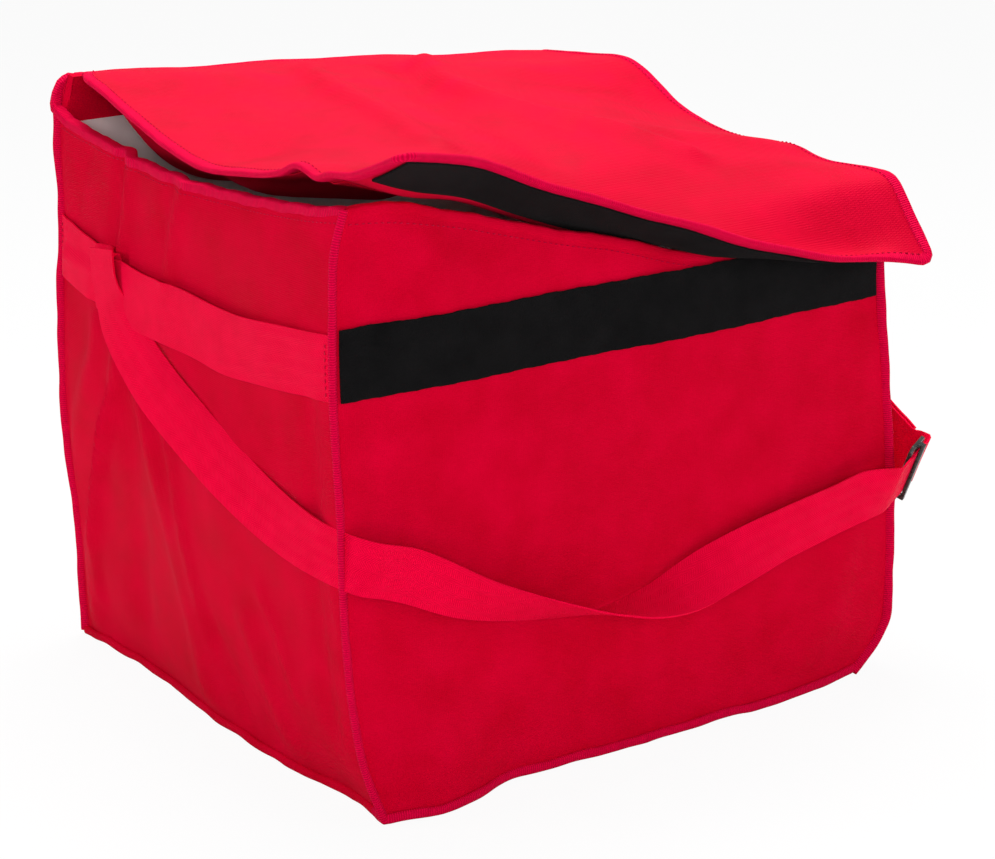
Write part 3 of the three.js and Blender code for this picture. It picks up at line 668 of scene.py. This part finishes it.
base_line = []
for wall, steps in (("front", (-1, 1)), ("right", (-1, 1)), ("back", (1, -1)), ("left", (1, -1))):
    s = np.linspace(*steps, 120)[:-1]
    base_line.append(wall_point(wall, s, seam_height, seam_depth - 1.6))
base_line = np.vstack(base_line)
base_x, base_y = base_line[:, 0], base_line[:, 1]
curl = 1.1 * np.sin(base_x / 24 + base_y / 31) + 0.7 * np.sin(base_x / 11 - base_y / 9)
base_line[:, 2] += np.maximum(curl, -0.4)
base_piping = tape_tube("seam_piping_base", base_line, (0, 0, 1), 3.6, 2.3, closed=True, wobble=0.06)
base_piping.data.materials.append(pink_tape)
base_piping.data.materials.append(red_fabric)
# Along the left wall the piping is covered with the wall's own cloth
for face in base_piping.data.polygons:
    face.material_index = int(face.center.x < -0.2 and face.center.y > -0.215)
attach(base_piping, "bag")
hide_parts("base_piping_front", "base_piping_back", "base_piping_left", "base_piping_right")

# ---------------------------------------------------------------------------------------------
# Rim: along the left and right walls the same tape, wider, is folded over cover, foam and lining, and
# turns up along the raised edge of the back wall. The front wall ends in a hem of its own cloth.
rim_middle = (seam_depth + 9.4) / 2
hem_drop, tape_drop = 3.2, 2.4
# Where the hem bulges over the left end of the front wall, and where the left tape turns up
hem_bulge_x, hem_bulge_reach, hem_bulge = -204, 24, 3.0
left_tape_rise = (
    (-236, 222.5, 446), (-233, 223.5, 455), (-228, 223, 464), (-221, 221, 468), (-212, 217, 467),
    (-205, 213, 464),
)


def rim_line(wall):
    s = np.linspace(-1, 1, 120)
    drop = hem_drop if wall == "front" else tape_drop
    z = rim_height(wall, s) - drop + 0.4 * np.sin(s * 31) + 0.25 * np.sin(s * 77)
    if wall == "front":
        z = z + hem_bulge * np.exp(-(((s * half_width - hem_bulge_x) / hem_bulge_reach) ** 2))
    line = wall_point(wall, s, z, rim_middle)
    line[:, 2] = z
    return line


for wall in ("left", "front", "right"):
    line = rim_line(wall)
    if wall == "front":
        side, half_across, half_up, cloth = (0.0, 1.0, 0.0), 4.5, 3.9, red_fabric
    else:
        side, half_across, half_up, cloth = (1.0, 0.0, 0.0), 4.7, 3.9, pink_tape
        rise = left_tape_rise
        if wall == "right":
            s = 0.972
            rise_heights = np.linspace(float(line[-1][2]) + 7, float(rim_height("back", s)) - 1, 5)
            rise = wall_point("back", s, rise_heights, rim_middle)
        line = np.vstack([line[0] + (0, -1.5, 0), line[:-3], rise])
    piece = tape_tube("rim_tape_" + wall, line, side, half_across, half_up, square=4.4, sides=20, wobble=0.03)
    piece.data.materials.append(cloth)
    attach(piece, "bag")
    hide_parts("rim_binding_" + wall)

# ---------------------------------------------------------------------------------------------
# The lid and its flap: one panel of the same nylon over thin foam, sewn to the top of the back wall.
# It lies slack: its left edge sags onto the rim, its right side follows the slumped corner, and in
# front it folds into a flap, which stands up at the left and hangs down at the right.
hinge_y, fold_y = 226.04, -230.0
flap_length = 75.0
# The fold's place along the whole panel, counted from 0 at the hinge to 1 at the flap's edge
fold_share = 0.86
flap_share = 1 - fold_share
# Heights of the lid from the hinge to the fold, along its left edge, its middle and its right edge
lid_heights = (
    [470, 476, 460, 445, 436, 444, 457, 464],
    [458, 458, 457, 455, 452, 444, 425, 384],
    [441, 446, 447, 419, 404, 402, 401.5, 404],
)
# Sections through the front of the panel, from its left edge to its right: (depth, height) where it
# folds, where it bends again over the rim or against the front wall, and where it ends
front_sections = (
    (-1.0, (-230, 465), (-262, 475), (-298, 488)),
    (-0.8, (-222, 443), (-238, 454), (-280, 479)),
    (-0.6, (-212, 431), (-222, 438), (-262, 464)),
    (-0.4, (-205, 412), (-219, 420), (-262, 445)),
    (-0.2, (-200, 393), (-219, 405), (-263, 427)),
    (0.0, (-203, 385), (-222, 390), (-266, 408.6)),
    (0.2, (-204, 388), (-241, 372), (-266, 392)),
    (0.4, (-206, 391), (-243, 364), (-266, 376)),
    (0.6, (-210, 394), (-244, 357), (-266, 362)),
    (0.8, (-217, 399), (-247, 354), (-266, 352)),
    (1.0, (-230, 404), (-252, 375), (-277, 342)),
)


def height_curve(heights, t):
    """A uniform Catmull-Rom curve through heights at even steps."""
    h = np.array([2 * heights[0] - heights[1], *heights, 2 * heights[-1] - heights[-2]], float)
    p = np.clip(t, 0, 1) * (len(heights) - 1)
    k = np.minimum(p.astype(int), len(heights) - 2)
    w = p - k
    a, b, c, d = h[k], h[k + 1], h[k + 2], h[k + 3]
    return b + 0.5 * w * (c - a + w * (2 * a - 5 * b + 4 * c - d + w * (3 * (b - c) + d - a)))


section_curves = [
    [through(*((s[0], s[point][axis]) for s in front_sections)) for axis in (0, 1)] for point in (1, 2, 3)
]


# Soft creases of the slack lid, seen from above: (line as x, y, half width, lift)
lid_folds = (
    (((-25, 200), (-42, 157), (-64, 74), (-81, -27), (-92, -110)), 13, 7.0),
    (((92, 202), (38, 90), (28, 48), (27, -25), (60, -90), (110, -140)), 14, 8.0),
    (((37, 147), (-13, 20), (-24, -50), (-12, -123)), 18, -6.0),
    (((-170, 190), (-185, 60), (-200, -40)), 24, -2.5),
)


def lid_point(across, back):
    """Points of the lid; across is -1 at its left edge and 1 at its right, back 0 at the hinge."""
    shares = (across * (across - 1) / 2, 1 - across**2, across * (across + 1) / 2)
    z = sum(share * height_curve(h, back) for share, h in zip(shares, lid_heights))
    at_fold = sum(share * h[-1] for share, h in zip(shares, lid_heights))
    z = z + (section_curves[0][1](across) - at_fold) * ease(0.7, 1, back)
    x = across * half_width
    y = hinge_y + (section_curves[0][0](across) - hinge_y) * back
    # Near its front the left edge lifts once and dips once on the rim
    near_left = ease(-0.6, -1, across)
    z = z + near_left * (4 * np.exp(-(((y + 160) / 13) ** 2)) - 5 * np.exp(-(((y + 190) / 12) ** 2)))
    # Its back corner is drawn in by the hinge seam, and a ridge runs from the middle to the right edge
    drawn = ease(-0.45, -1, across) * ease(0.17, 0, back)
    x, y = x + 22 * drawn, y - 14 * drawn
    ridge = np.clip((x - 20) / 150, 0, 1.2)
    on_ridge = np.exp(-(((y + 66 + 42 * ridge) / 24) ** 2))
    z = z + 7 * ease(0, 0.5, ridge) * ease(1.2, 0.9, x / half_width) * on_ridge
    z = z + fold_rise(lid_folds, x, y) * ease(0.02, 0.14, back)
    ripple = 1.1 * np.sin(x / 37 + y / 53) * np.sin(y / 41) + 0.7 * np.sin(x / 19 - y / 27)
    return np.stack([x, y, z + ripple * ease(1, 0.9, back)], -1)


def flap_point(across, share):
    """Points of the flap, at a share of its length from the fold to its free edge."""
    fold, bend, end = (
        np.stack([across * half_width, curves[0](across), curves[1](across)], -1) for curves in section_curves
    )
    near = np.linalg.norm(bend - fold, axis=-1)
    far = np.linalg.norm(end - bend, axis=-1)
    turn = np.clip(near / (near + far), 0.12, 0.7)
    share = np.asarray(share, float)
    before = np.clip(share / turn, 0, 1)[..., None]
    after = np.clip((share - turn) / (1 - turn), 0, 1)[..., None]
    points = fold + (bend - fold) * before + (end - bend) * after
    points[..., 2] += (0.9 * np.sin(across * 7 + 1) + 0.6 * np.sin(across * 17)) * share**2
    return points


def panel_point(across, run):
    """Points of the whole panel: run is 0 at the hinge, fold_share at the fold, 1 at the flap's edge."""
    across, run = np.broadcast_arrays(np.asarray(across, float), np.asarray(run, float))
    on_lid = lid_point(across, np.clip(run / fold_share, 0, 1))
    on_flap = flap_point(across, np.clip((run - fold_share) / flap_share, 0, 1))
    return np.where((run <= fold_share)[..., None], on_lid, on_flap)


def soft_panel(across, run, offset=0.0):
    """The panel with its bends rounded by averaging along the run, offset towards its upper side."""
    across, run = np.broadcast_arrays(np.asarray(across, float), np.asarray(run, float))

    def rounded(across, run):
        near = ease(fold_share - 0.09, fold_share - 0.01, run) * ease(1, 0.955, run)
        steps = ((-0.024, 1), (-0.012, 2), (0, 2), (0.012, 2), (0.024, 1))
        return sum(weight * panel_point(across, run + shift * near) for shift, weight in steps) / 8

    points = rounded(across, run)
    if np.any(offset):
        aside = rounded(across + 0.004, run) - rounded(across - 0.004, run)
        forwards = rounded(across, run + 0.002) - rounded(across, run - 0.002)
        upward = np.cross(forwards, aside)
        upward /= np.linalg.norm(upward, axis=-1)[..., None]
        points = points + upward * np.asarray(offset, float)[..., None]
    return points


# The panel ends inside its binding, and starts clear of the hinge's cord
panel_inset, hinge_clearance, panel_thickness = 3.0, 5.0, 3.0
panel_edge = 1 - panel_inset / half_width
panel_end = 1 - panel_inset / flap_length * flap_share
lid_start = hinge_clearance / (hinge_y - fold_y) * fold_share
corner_run = flap_share * 10 / flap_length
corner_draw = 6 / half_width


def place_panel(u, v):
    run = lid_start + (panel_end - lid_start) * v
    across = (2 * u - 1) * panel_edge
    rounding = np.clip((run - (1 - corner_run)) / corner_run, 0, 1)
    return soft_panel(across * (1 - rounding**2 * corner_draw), run)


# The lid wears a lit copy of the walls' nylon, which is the same cloth. Its paler, pinker base colour and its
# stronger sheen and gloss are a painted highlight for the strong light from above.
lid_fabric = woven_fabric(
    "red_woven_nylon_lid_painted_highlight", (0.50, 0.0006, 0.017), (0.64, 0.0012, 0.030), 0.04, 0.06
)
panel = sheet_grid("lid_panel", 96, 110, place_panel, 480, 531)
apply_solidify(panel, panel_thickness, 0)
smooth_shading()
panel.data.materials.append(lid_fabric)
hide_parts("lid_cover", "lid_foam", "flap_cover", "flap_underside", "flap_fold_cord")
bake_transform(panel)

# The cloth under the lid is sewn to it at the edges only, and hangs loose in the middle
underside_sag, underside_gap, underside_share = 57, 2.4, 0.945


def place_underside(u, v):
    """It sags most in the middle, fills out to the left edge at the back, and is tighter at the right."""
    across, back = 2 * u - 1, 0.02 + 0.93 * v
    fullness = 1 - np.abs(across) ** (3.2 + 9 * ease(0.5, 0.15, back) * ease(0, -0.5, across))
    slack = underside_sag * fullness * ease(0.0, 0.24, back) * ease(0.95, 0.56, back)
    slack = slack * (1 - 0.35 * ease(0, 1, across)) + underside_gap
    waves = 2.0 * np.sin(across * 9 + back * 7) + 1.5 * np.sin(across * 4 - back * 15)
    points = lid_point(across * underside_share, back)
    points[..., 2] -= slack + ease(0, 20, slack) * waves
    return points


underside = sheet_grid("lid_lining_cloth", 60, 60, place_underside, 454, 424)
apply_solidify(underside, 0.8, 0)
smooth_shading()
underside.data.materials.append(red_fabric)
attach(underside, "lid")
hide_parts("lid_underside")

# The panel's edge is bound with the same tape, from the hinge down one side, round the flap and back
binding_inset, binding_corner, binding_stop = 4.2, 8, 12
steps = 150


def run_before_end(distance):
    """The run at a distance in millimetres before the flap's edge."""
    return 1 - flap_share * distance / flap_length


edge_runs = np.linspace(lid_start, run_before_end(binding_stop), steps)
edge_places = [(np.full(steps, -1 + binding_inset / half_width), edge_runs)]
for side in (-1, 1):
    turn = np.linspace(0, math.pi / 2, 8)[::-side]
    edge_places.append((
        side * (1 - binding_inset / half_width - binding_corner * (1 - np.cos(turn)) / half_width),
        run_before_end(binding_inset + binding_corner * (1 - np.sin(turn))),
    ))
    if side < 0:
        end = 1 - (binding_inset + binding_corner) / half_width
        along_edge = np.linspace(-end, end, 140)[1:-1]
        edge_places.append((along_edge, np.full(len(along_edge), run_before_end(binding_inset))))
edge_places.append((np.full(steps, 1 - binding_inset / half_width), edge_runs[::-1]))
edge_line = np.vstack([soft_panel(across, run) for across, run in edge_places])
edge_above = np.vstack([soft_panel(across, run, 1.0) for across, run in edge_places]) - edge_line


def edge_width(points):
    """The binding's width lies in the panel, square to its edge."""
    nearest = [int(np.argmin(np.sum((edge_line - point) ** 2, 1))) for point in points]
    return np.cross(edge_above[nearest], directions(points))


panel_tape = tape_tube("lid_edge_tape", edge_line, edge_width, 4.6, 2.4, spacing=3.5, square=3.4, wobble=0.05)
panel_tape.data.materials.append(pink_tape)
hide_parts("lid_binding_left", "lid_binding_right", "flap_binding")
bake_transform(panel_tape)

# ---------------------------------------------------------------------------------------------
# The hinge: a corded seam along the raised top of the back wall, where the lid turns.
across = np.linspace(-1, 1, 60)
hinge_line = lid_point(across * 0.985, np.zeros(60)) + (0, 1.0, -1.6)
hinge_tape = tape_tube("lid_hinge_cord", hinge_line, (0, 1, 0), 3.4, 3.2, square=2.2, wobble=0.04)
hinge_tape.data.materials.append(pink_tape)
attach(hinge_tape, "bag")
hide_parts("lid_hinge_piping")

# ---------------------------------------------------------------------------------------------
# Touch tapes: a black loop tape sewn across the front wall, and the hook tape that meets it under
# the flap. Both are matt and fuzzy.
black_pile, tree, place = new_surface("black_touch_tape")
fuzz = noise(tree, place, 1500)
worn = noise(tree, place, 60, 4)
tone = blended(tree, fuzz, 0.6, worn)
drive(tree, ramp(tree, tone, (0.0012, 0.0012, 0.0014), (0.007, 0.0065, 0.007)), "Base Color")
drive(tree, bump(tree, fuzz, 0.8, 0.0012, bump(tree, worn, 0.3, 0.002)), "Normal")
set_sockets(tree, {
    "Roughness": 0.95, "Specular IOR Level": 0.06, "Sheen Weight": 0.015, "Sheen Roughness": 0.6,
})


tape_width, tape_foot = 50, 311


def place_front_tape(u, v):
    s = (2 * u - 1) * 0.978
    z = tape_foot + tape_width * v + 0.25 * np.sin(s * 61) + 0.15 * np.sin(s * 163)
    return wall_point("front", s, z, seam_depth - 1.2)


front_tape = sheet_grid("front_loop_strip", 150, 12, place_front_tape, 470, 50)
apply_solidify(front_tape, 1.6, 0)
smooth_shading()
front_tape.data.materials.append(black_pile)
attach(front_tape, "bag")
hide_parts("front_loop_tape")


hook_inset, hook_below = 7.2, 2.9


def place_hook_tape(u, v):
    run = run_before_end(hook_inset + tape_width * (1 - v))
    return soft_panel((2 * u - 1) * 0.955, run, -hook_below)


hook_tape = sheet_grid("flap_hook_strip", 120, 12, place_hook_tape, 460, 50)
apply_solidify(hook_tape, 1.4, 0)
smooth_shading()
hook_tape.data.materials.append(black_pile)
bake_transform(hook_tape)
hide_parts("flap_hook_tape")

# ---------------------------------------------------------------------------------------------
# Stitching: rows of red thread that hold the rim tapes, the hem, the ends of the side bands and the
# lid's binding. Each stitch is a short thread that sinks into the cloth at both ends.
thread_colour, tree, place = new_surface("red_sewing_thread")
twist = noise(tree, place, 1200, 2)
drive(tree, ramp(tree, twist, (0.34, 0.0004, 0.018), (0.62, 0.002, 0.05)), "Base Color")
drive(tree, bump(tree, twist, 0.3, 0.0004), "Normal")
set_sockets(tree, {"Roughness": 0.5, "Specular IOR Level": 0.1})


stitch_pitch, stitch_half, stitch_start = 4.8, 1.7, 3.0
thread_half, thread_above, thread_below = 0.34, 0.4, 0.5


def point_along(line, step, distance):
    return np.array([np.interp(distance, step, line[:, k]) for k in range(3)])


def stitching(name, rows):
    """Stitches along rows, each given as points and the directions that stand off the cloth."""
    places, faces = [], []
    for line, above in rows:
        step = np.concatenate([[0], np.cumsum(np.linalg.norm(np.diff(line, axis=0), axis=1))])
        for middle in np.arange(stitch_start, step[-1] - stitch_start, stitch_pitch):
            first, last = (point_along(line, step, middle + half) for half in (-stitch_half, stitch_half))
            up_here = point_along(above, step, middle)
            along = last - first
            aside = np.cross(up_here, along)
            aside *= thread_half / np.linalg.norm(aside)
            over, under = up_here * thread_above, up_here * thread_below
            start = len(places)
            places.append(first - under)
            for share in (0.28, 0.72):
                centre = first + along * share
                places.extend((centre + aside, centre + over, centre - aside, centre - under))
            places.append(last - under)
            for k in range(4):
                n = (k + 1) % 4
                faces.append((start, start + 1 + n, start + 1 + k))
                faces.append((start + 1 + k, start + 1 + n, start + 5 + n, start + 5 + k))
                faces.append((start + 9, start + 5 + k, start + 5 + n))
    mesh = bpy.data.meshes.new(name)
    mesh.from_pydata([tuple(p * MM) for p in places], [], faces)
    piece = bpy.data.objects.new(name, mesh)
    bpy.context.scene.collection.objects.link(piece)
    bpy.ops.object.select_all(action="DESELECT")
    piece.select_set(True)
    bpy.context.view_layer.objects.active = piece
    clean_mesh()
    smooth_shading(70)
    mesh.materials.append(thread_colour)
    return piece


# The bands' own sag and stand-off, which their end stitches follow
band_drop = through((-225, 0), (-150, 6), (-84, 12), (-9, 11), (60, 11), (127, 7), (180, 2), (225, -4))


def band_depth(s):
    """How deep the middle of a side band lies behind the piped outline; negative is outside."""
    return 1.2 - 4.0 * (1 - s**2) - 0.6 * (1 - s**8)


def wall_row(wall, s, z, depth):
    outward = wall_point(wall, s, z, depth - 1) - wall_point(wall, s, z, depth)
    return wall_point(wall, s, z, depth), outward / np.linalg.norm(outward, axis=1)[:, None]


hem_row_drop, tape_row_drop, row_depth = 9.5, 8.0, 1.7
along_wall = np.linspace(-0.985, 0.985, 160)
up_band = np.linspace(314, 356, 20)
bag_rows = [wall_row("front", along_wall, rim_height("front", along_wall) - hem_row_drop, row_depth)]
for wall in ("left", "right"):
    bag_rows.append(wall_row(wall, along_wall, rim_height(wall, along_wall) - tape_row_drop, row_depth))
    for s in (-0.968, 0.968):
        drop = band_drop(s * half_depth) if wall == "left" else 0
        bag_rows.append(wall_row(wall, np.full(20, s), up_band - drop, band_depth(s) - 1.0))
bag_stitches = stitching("stitching_bag", bag_rows)
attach(bag_stitches, "bag")

# Down the lid's left side, along the flap's edge, and down the right side
lid_rows = []
row_inset, row_above = 7.6, 2.5
row_edge, row_end = 1 - row_inset / half_width, run_before_end(row_inset)
down_side = np.linspace(0.02, row_end, steps)
for across, run in (
    (np.full(steps, -row_edge), down_side),
    (np.linspace(-row_edge, row_edge, steps), np.full(steps, row_end)),
    (np.full(steps, row_edge), down_side),
):
    line = soft_panel(across, run, row_above)
    lid_rows.append((line, soft_panel(across, run, row_above + 1) - line))
lid_stitches = stitching("stitching_lid", lid_rows)
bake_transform(lid_stitches)

# ---------------------------------------------------------------------------------------------
# Side bands: flat woven webbing sewn into both seams of each side wall, a little slack between them.
# The strap's loops hang on them.


def herringbone(name, low, high):
    """Flat webbing with slanting ribs that turn back in a few stripes, read from the UV map."""
    material, tree, place = new_surface(name)
    split = tree.nodes.new("ShaderNodeSeparateXYZ")
    tree.links.new(tree.nodes.new("ShaderNodeUVMap").outputs["UV"], split.inputs[0])
    folded = calc(tree, "PINGPONG", split.outputs["Y"], 0.005)
    slanted = calc(tree, "ADD", split.outputs["X"], calc(tree, "MULTIPLY", folded, 0.9))
    join = tree.nodes.new("ShaderNodeCombineXYZ")
    tree.links.new(slanted, join.inputs["X"])
    tree.links.new(split.outputs["Y"], join.inputs["Y"])
    ribs = threads(tree, join.outputs[0], "X", 175)
    warp = threads(tree, join.outputs[0], "Y", 240)
    weave = calc(tree, "ADD", ribs, calc(tree, "MULTIPLY", warp, 0.4))
    cloud = noise(tree, place, 60, 4)
    drive(tree, ramp(tree, blended(tree, ribs, 0.45, cloud), low, high), "Base Color")
    drive(tree, bump(tree, weave, 0.6, 0.0008, bump(tree, cloud, 0.2, 0.002)), "Normal")
    set_sockets(tree, {"Roughness": 0.55, **tape_sheen})
    return material


webbing = herringbone("pink_red_webbing", (0.80, 0.0004, 0.032), (0.98, 0.0012, 0.052))
band_width, band_foot = 46, 312
for wall in ("left", "right"):

    def place_band(u, v, wall=wall):
        s = (2 * u - 1) * 0.993
        z = band_foot + band_width * v
        crease = 0.0
        if wall == "left":
            z = z - band_drop(s * half_depth)
            crease = 3.2 * ease(0.6, 0.68, s) * ease(0.995, 0.9, s) * ease(0.62, 0.46, v + 0.45 * (s - 0.8))
        return wall_point(wall, s, z, band_depth(s) - crease)

    band = sheet_grid("side_webbing_" + wall, 120, 12, place_band, 446, 46)
    apply_solidify(band, 1.5, 0)
    smooth_shading()
    band.data.materials.append(webbing)
    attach(band, "bag")
    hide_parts("side_band_" + wall)

# ---------------------------------------------------------------------------------------------
# Strap loops: each end of the shoulder strap is folded round its side band and sewn to itself.
# They are given as (wall, place along it, drop), and the outer side of each stands off most at its top.
strap_width = 40.0
loop_middle, loop_reach = 335, 25.2
left_loop_y, right_loop_y = 113.0, -75.0
for wall, depth, drop in (("left", left_loop_y, 7.5), ("right", right_loop_y, 0)):

    def place_loop(u, v, wall=wall, depth=depth, drop=drop):
        y = depth + (v - 0.5) * strap_width
        s = y / (half_depth - 4)
        turn = u * 2 * math.pi
        c, k = np.cos(turn), np.sin(turn)
        z = loop_middle + np.sign(c) * np.abs(c) ** 0.5 * loop_reach - drop
        bulge = np.sign(k) * np.abs(k) ** 0.6 * (2.1 + 2.4 * ease(340, 362, z) * (k < 0))
        return wall_point(wall, s, z, band_depth(s) + bulge)

    loop = sheet_grid("strap_end_loop_" + wall, 56, 10, place_loop, 110, 40)
    clean_mesh(merge=0.02)
    apply_solidify(loop, 1.3, 1)
    smooth_shading()
    loop.data.materials.append(webbing)
    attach(loop, "bag")
    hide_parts("strap_loop_" + wall)

# ---------------------------------------------------------------------------------------------
# The shoulder strap: flat webbing 40 mm wide. From the left loop it leans out and falls forwards,
# sags across the front where it turns over, runs through the adjuster and climbs to the right loop.
# Beyond the adjuster its second layer lies over the first.
strap_plane, strap_thickness, layer_step = 250.1, 1.4, 3.4
strap_top, strap_low = 310.0, 119.0
strap_fall = strap_top - strap_low
slider_run = np.array([0.9, 0.436, 0.15])
slider_run /= np.linalg.norm(slider_run)
slider_across = np.array([0.2, -0.3, 0.93])
slider_across -= slider_run * slider_across.dot(slider_run)
slider_across /= np.linalg.norm(slider_across)
slider_face = np.cross(slider_run, slider_across)
slider_centre = np.array([268.0, -226.0, 163.0])

stations = []


def add_station(middle, face):
    """A place on the strap's middle line, and where its face looks: out at the left, in at the right."""
    face = np.array(face, float)
    stations.append((np.array(middle, float), face / np.linalg.norm(face)))


for y, off, z, lean in (
    (112, 0.15, 355, -2), (109, 0.17, 335, 0), (103, 0.17, 320, 6), (94, 0.19, 309, 16), (70, 0.23, 294, 27),
    (22, 0.3, 270, 34), (-34, 0.33, 250, 34), (-90, 0.3, 230, 29), (-150, 0.22, 212, 18), (-200, 0.1, 203, 8),
):
    lean = math.radians(lean)
    add_station((-strap_plane - off * strap_width, y, z), (-math.cos(lean), 0, math.sin(lean)))
add_station((-half_width, -half_depth - 11, 197), (-0.5, -0.86, 0))
for along, off, height, turn in (
    (-0.86, 0.16, 0.345, 8), (-0.64, 0.36, 0.2, 34), (-0.4, 0.5, 0.095, 58), (-0.19, 0.56, 0.03, 78),
    (0.01, 0.55, 0.022, 106), (0.25, 0.42, 0.08, 146), (0.5, 0.3, 0.135, 172), (0.74, 0.25, 0.18, 180),
    (0.87, 0.22, 0.203, 178),
):
    turn = math.radians(turn)
    add_station(
        (along * half_width, -half_depth - 6 - off * strap_width, strap_low + height * strap_fall),
        (0, -math.cos(turn), -math.sin(turn)),
    )
for run in (-33.6, -25.2, -10.1, 10.1, 23.0):
    add_station(slider_centre + slider_run * run, -slider_face)
for back, rise, off, turn in (
    (0.17, 0.035, 2.2, 0.4), (0.27, 0.115, 2.05, 0.15), (0.385, 0.25, 1.5, 0.05), (0.515, 0.4, 0.9, 0),
    (0.69, 0.605, 0.42, 0), (0.86, 0.83, 0.07, 0), (1, 1, 0, 0),
):
    add_station(
        (
            strap_plane + off * (slider_centre[0] - strap_plane),
            slider_centre[1] + (right_loop_y - slider_centre[1]) * back,
            slider_centre[2] + (strap_top - slider_centre[2]) * rise,
        ),
        (-1, turn, turn),
    )


def centripetal(points, t):
    """A point of the centripetal Catmull-Rom curve through points, at t counted in spans."""
    k = min(int(t), len(points) - 2)
    w = t - k
    p1, p2 = points[k], points[k + 1]
    p0 = points[k - 1] if k > 0 else 2 * p1 - p2
    p3 = points[k + 2] if k + 2 < len(points) else 2 * p2 - p1
    d0, d1, d2 = (max(np.linalg.norm(b - a) ** 0.5, 1e-4) for a, b in ((p0, p1), (p1, p2), (p2, p3)))
    m1 = ((p1 - p0) / d0 - (p2 - p0) / (d0 + d1) + (p2 - p1) / d1) * d1
    m2 = ((p2 - p1) / d1 - (p3 - p1) / (d1 + d2) + (p3 - p2) / d2) * d1
    return (
        p1 + m1 * w + (3 * (p2 - p1) - 2 * m1 - m2) * w**2 + (2 * (p1 - p2) + m1 + m2) * w**3
    )


def strap_stretch(first, last, spacing):
    """Even stations of the strap between two of the given ones: middles, faces and the length."""
    middles = [s[0] for s in stations]
    t = np.linspace(first, last, 1200)
    dense = np.array([centripetal(middles, x) for x in t])
    length = np.concatenate([[0], np.cumsum(np.linalg.norm(np.diff(dense, axis=0), axis=1))])
    even = np.linspace(0, length[-1], int(round(length[-1] / spacing)) + 1)
    t = np.interp(even, length, t)
    middle = np.array([centripetal(middles, x) for x in t])
    k = np.minimum(t.astype(int), len(stations) - 2)
    w = (t - k)[:, None]
    faces = np.array([s[1] for s in stations])
    return middle, faces[k] * (1 - w) + faces[k + 1] * w, length[-1]


def strap_piece(name, first, last, shift):
    """A layer of the strap between two stations, shifted in the direction that its face looks in."""
    middle, face, length = strap_stretch(first, last, 4.0)
    along = directions(middle)
    face = face - along * np.sum(face * along, 1)[:, None]
    face /= np.linalg.norm(face, axis=1)[:, None]
    across = np.cross(face, along)
    count = len(middle) - 1

    def place(u, v):
        k = np.rint(u * count).astype(int)
        return middle[k] + across[k] * ((v - 0.5) * strap_width)[:, None] + face[k] * shift

    piece = sheet_grid(name, count, 10, place, length, strap_width)
    apply_solidify(piece, strap_thickness, 0)
    smooth_shading()
    piece.data.materials.append(webbing)
    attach(piece, "strap")
    return piece, length


last_station = len(stations) - 1
strap, strap_length = strap_piece("shoulder_webbing", 0, last_station, 0.0)
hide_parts("shoulder_strap")
second, second_length = strap_piece("shoulder_webbing_return", 25.5, last_station, -layer_step)
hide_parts("strap_return")

# ---------------------------------------------------------------------------------------------
# The adjuster: a moulded three-bar slide of glossy dark grey plastic. Two outer bars lie over the
# webbing and one middle bar under it, joined at the ends.
slider_stretch, edge_rounding = 0.13, 0.7
slider_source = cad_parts["strap_slider"]
slider = bpy.data.objects.new("strap_adjuster", slider_source.data.copy())
bpy.context.scene.collection.objects.link(slider)
slider.data.materials.clear()
bpy.context.view_layer.objects.active = slider
slider.select_set(True)
clean_mesh(merge=0.05)
points = get_points(slider) / MM - slider_centre
points += slider_across * slider_stretch * points.dot(slider_across)[:, None]
set_points(slider, points + slider_centre)
rounding = slider.modifiers.new("moulded edges", "BEVEL")
rounding.width = edge_rounding * MM
rounding.segments = 3
rounding.limit_method = "ANGLE"
rounding.angle_limit = math.radians(40)
bpy.ops.object.modifier_apply(modifier=rounding.name)
smooth_shading(40)
plastic, tree, place = new_surface("dark_grey_plastic")
mottle = noise(tree, place, 260)
drive(tree, ramp(tree, mottle, (0.022, 0.024, 0.023), (0.045, 0.05, 0.047)), "Base Color")
drive(tree, ramp(tree, mottle, (0.22,) * 3, (0.36,) * 3), "Roughness")
drive(tree, bump(tree, mottle, 0.08, 0.001), "Normal")
slider.data.materials.append(plastic)
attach(slider, "slider")
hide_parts("strap_slider")
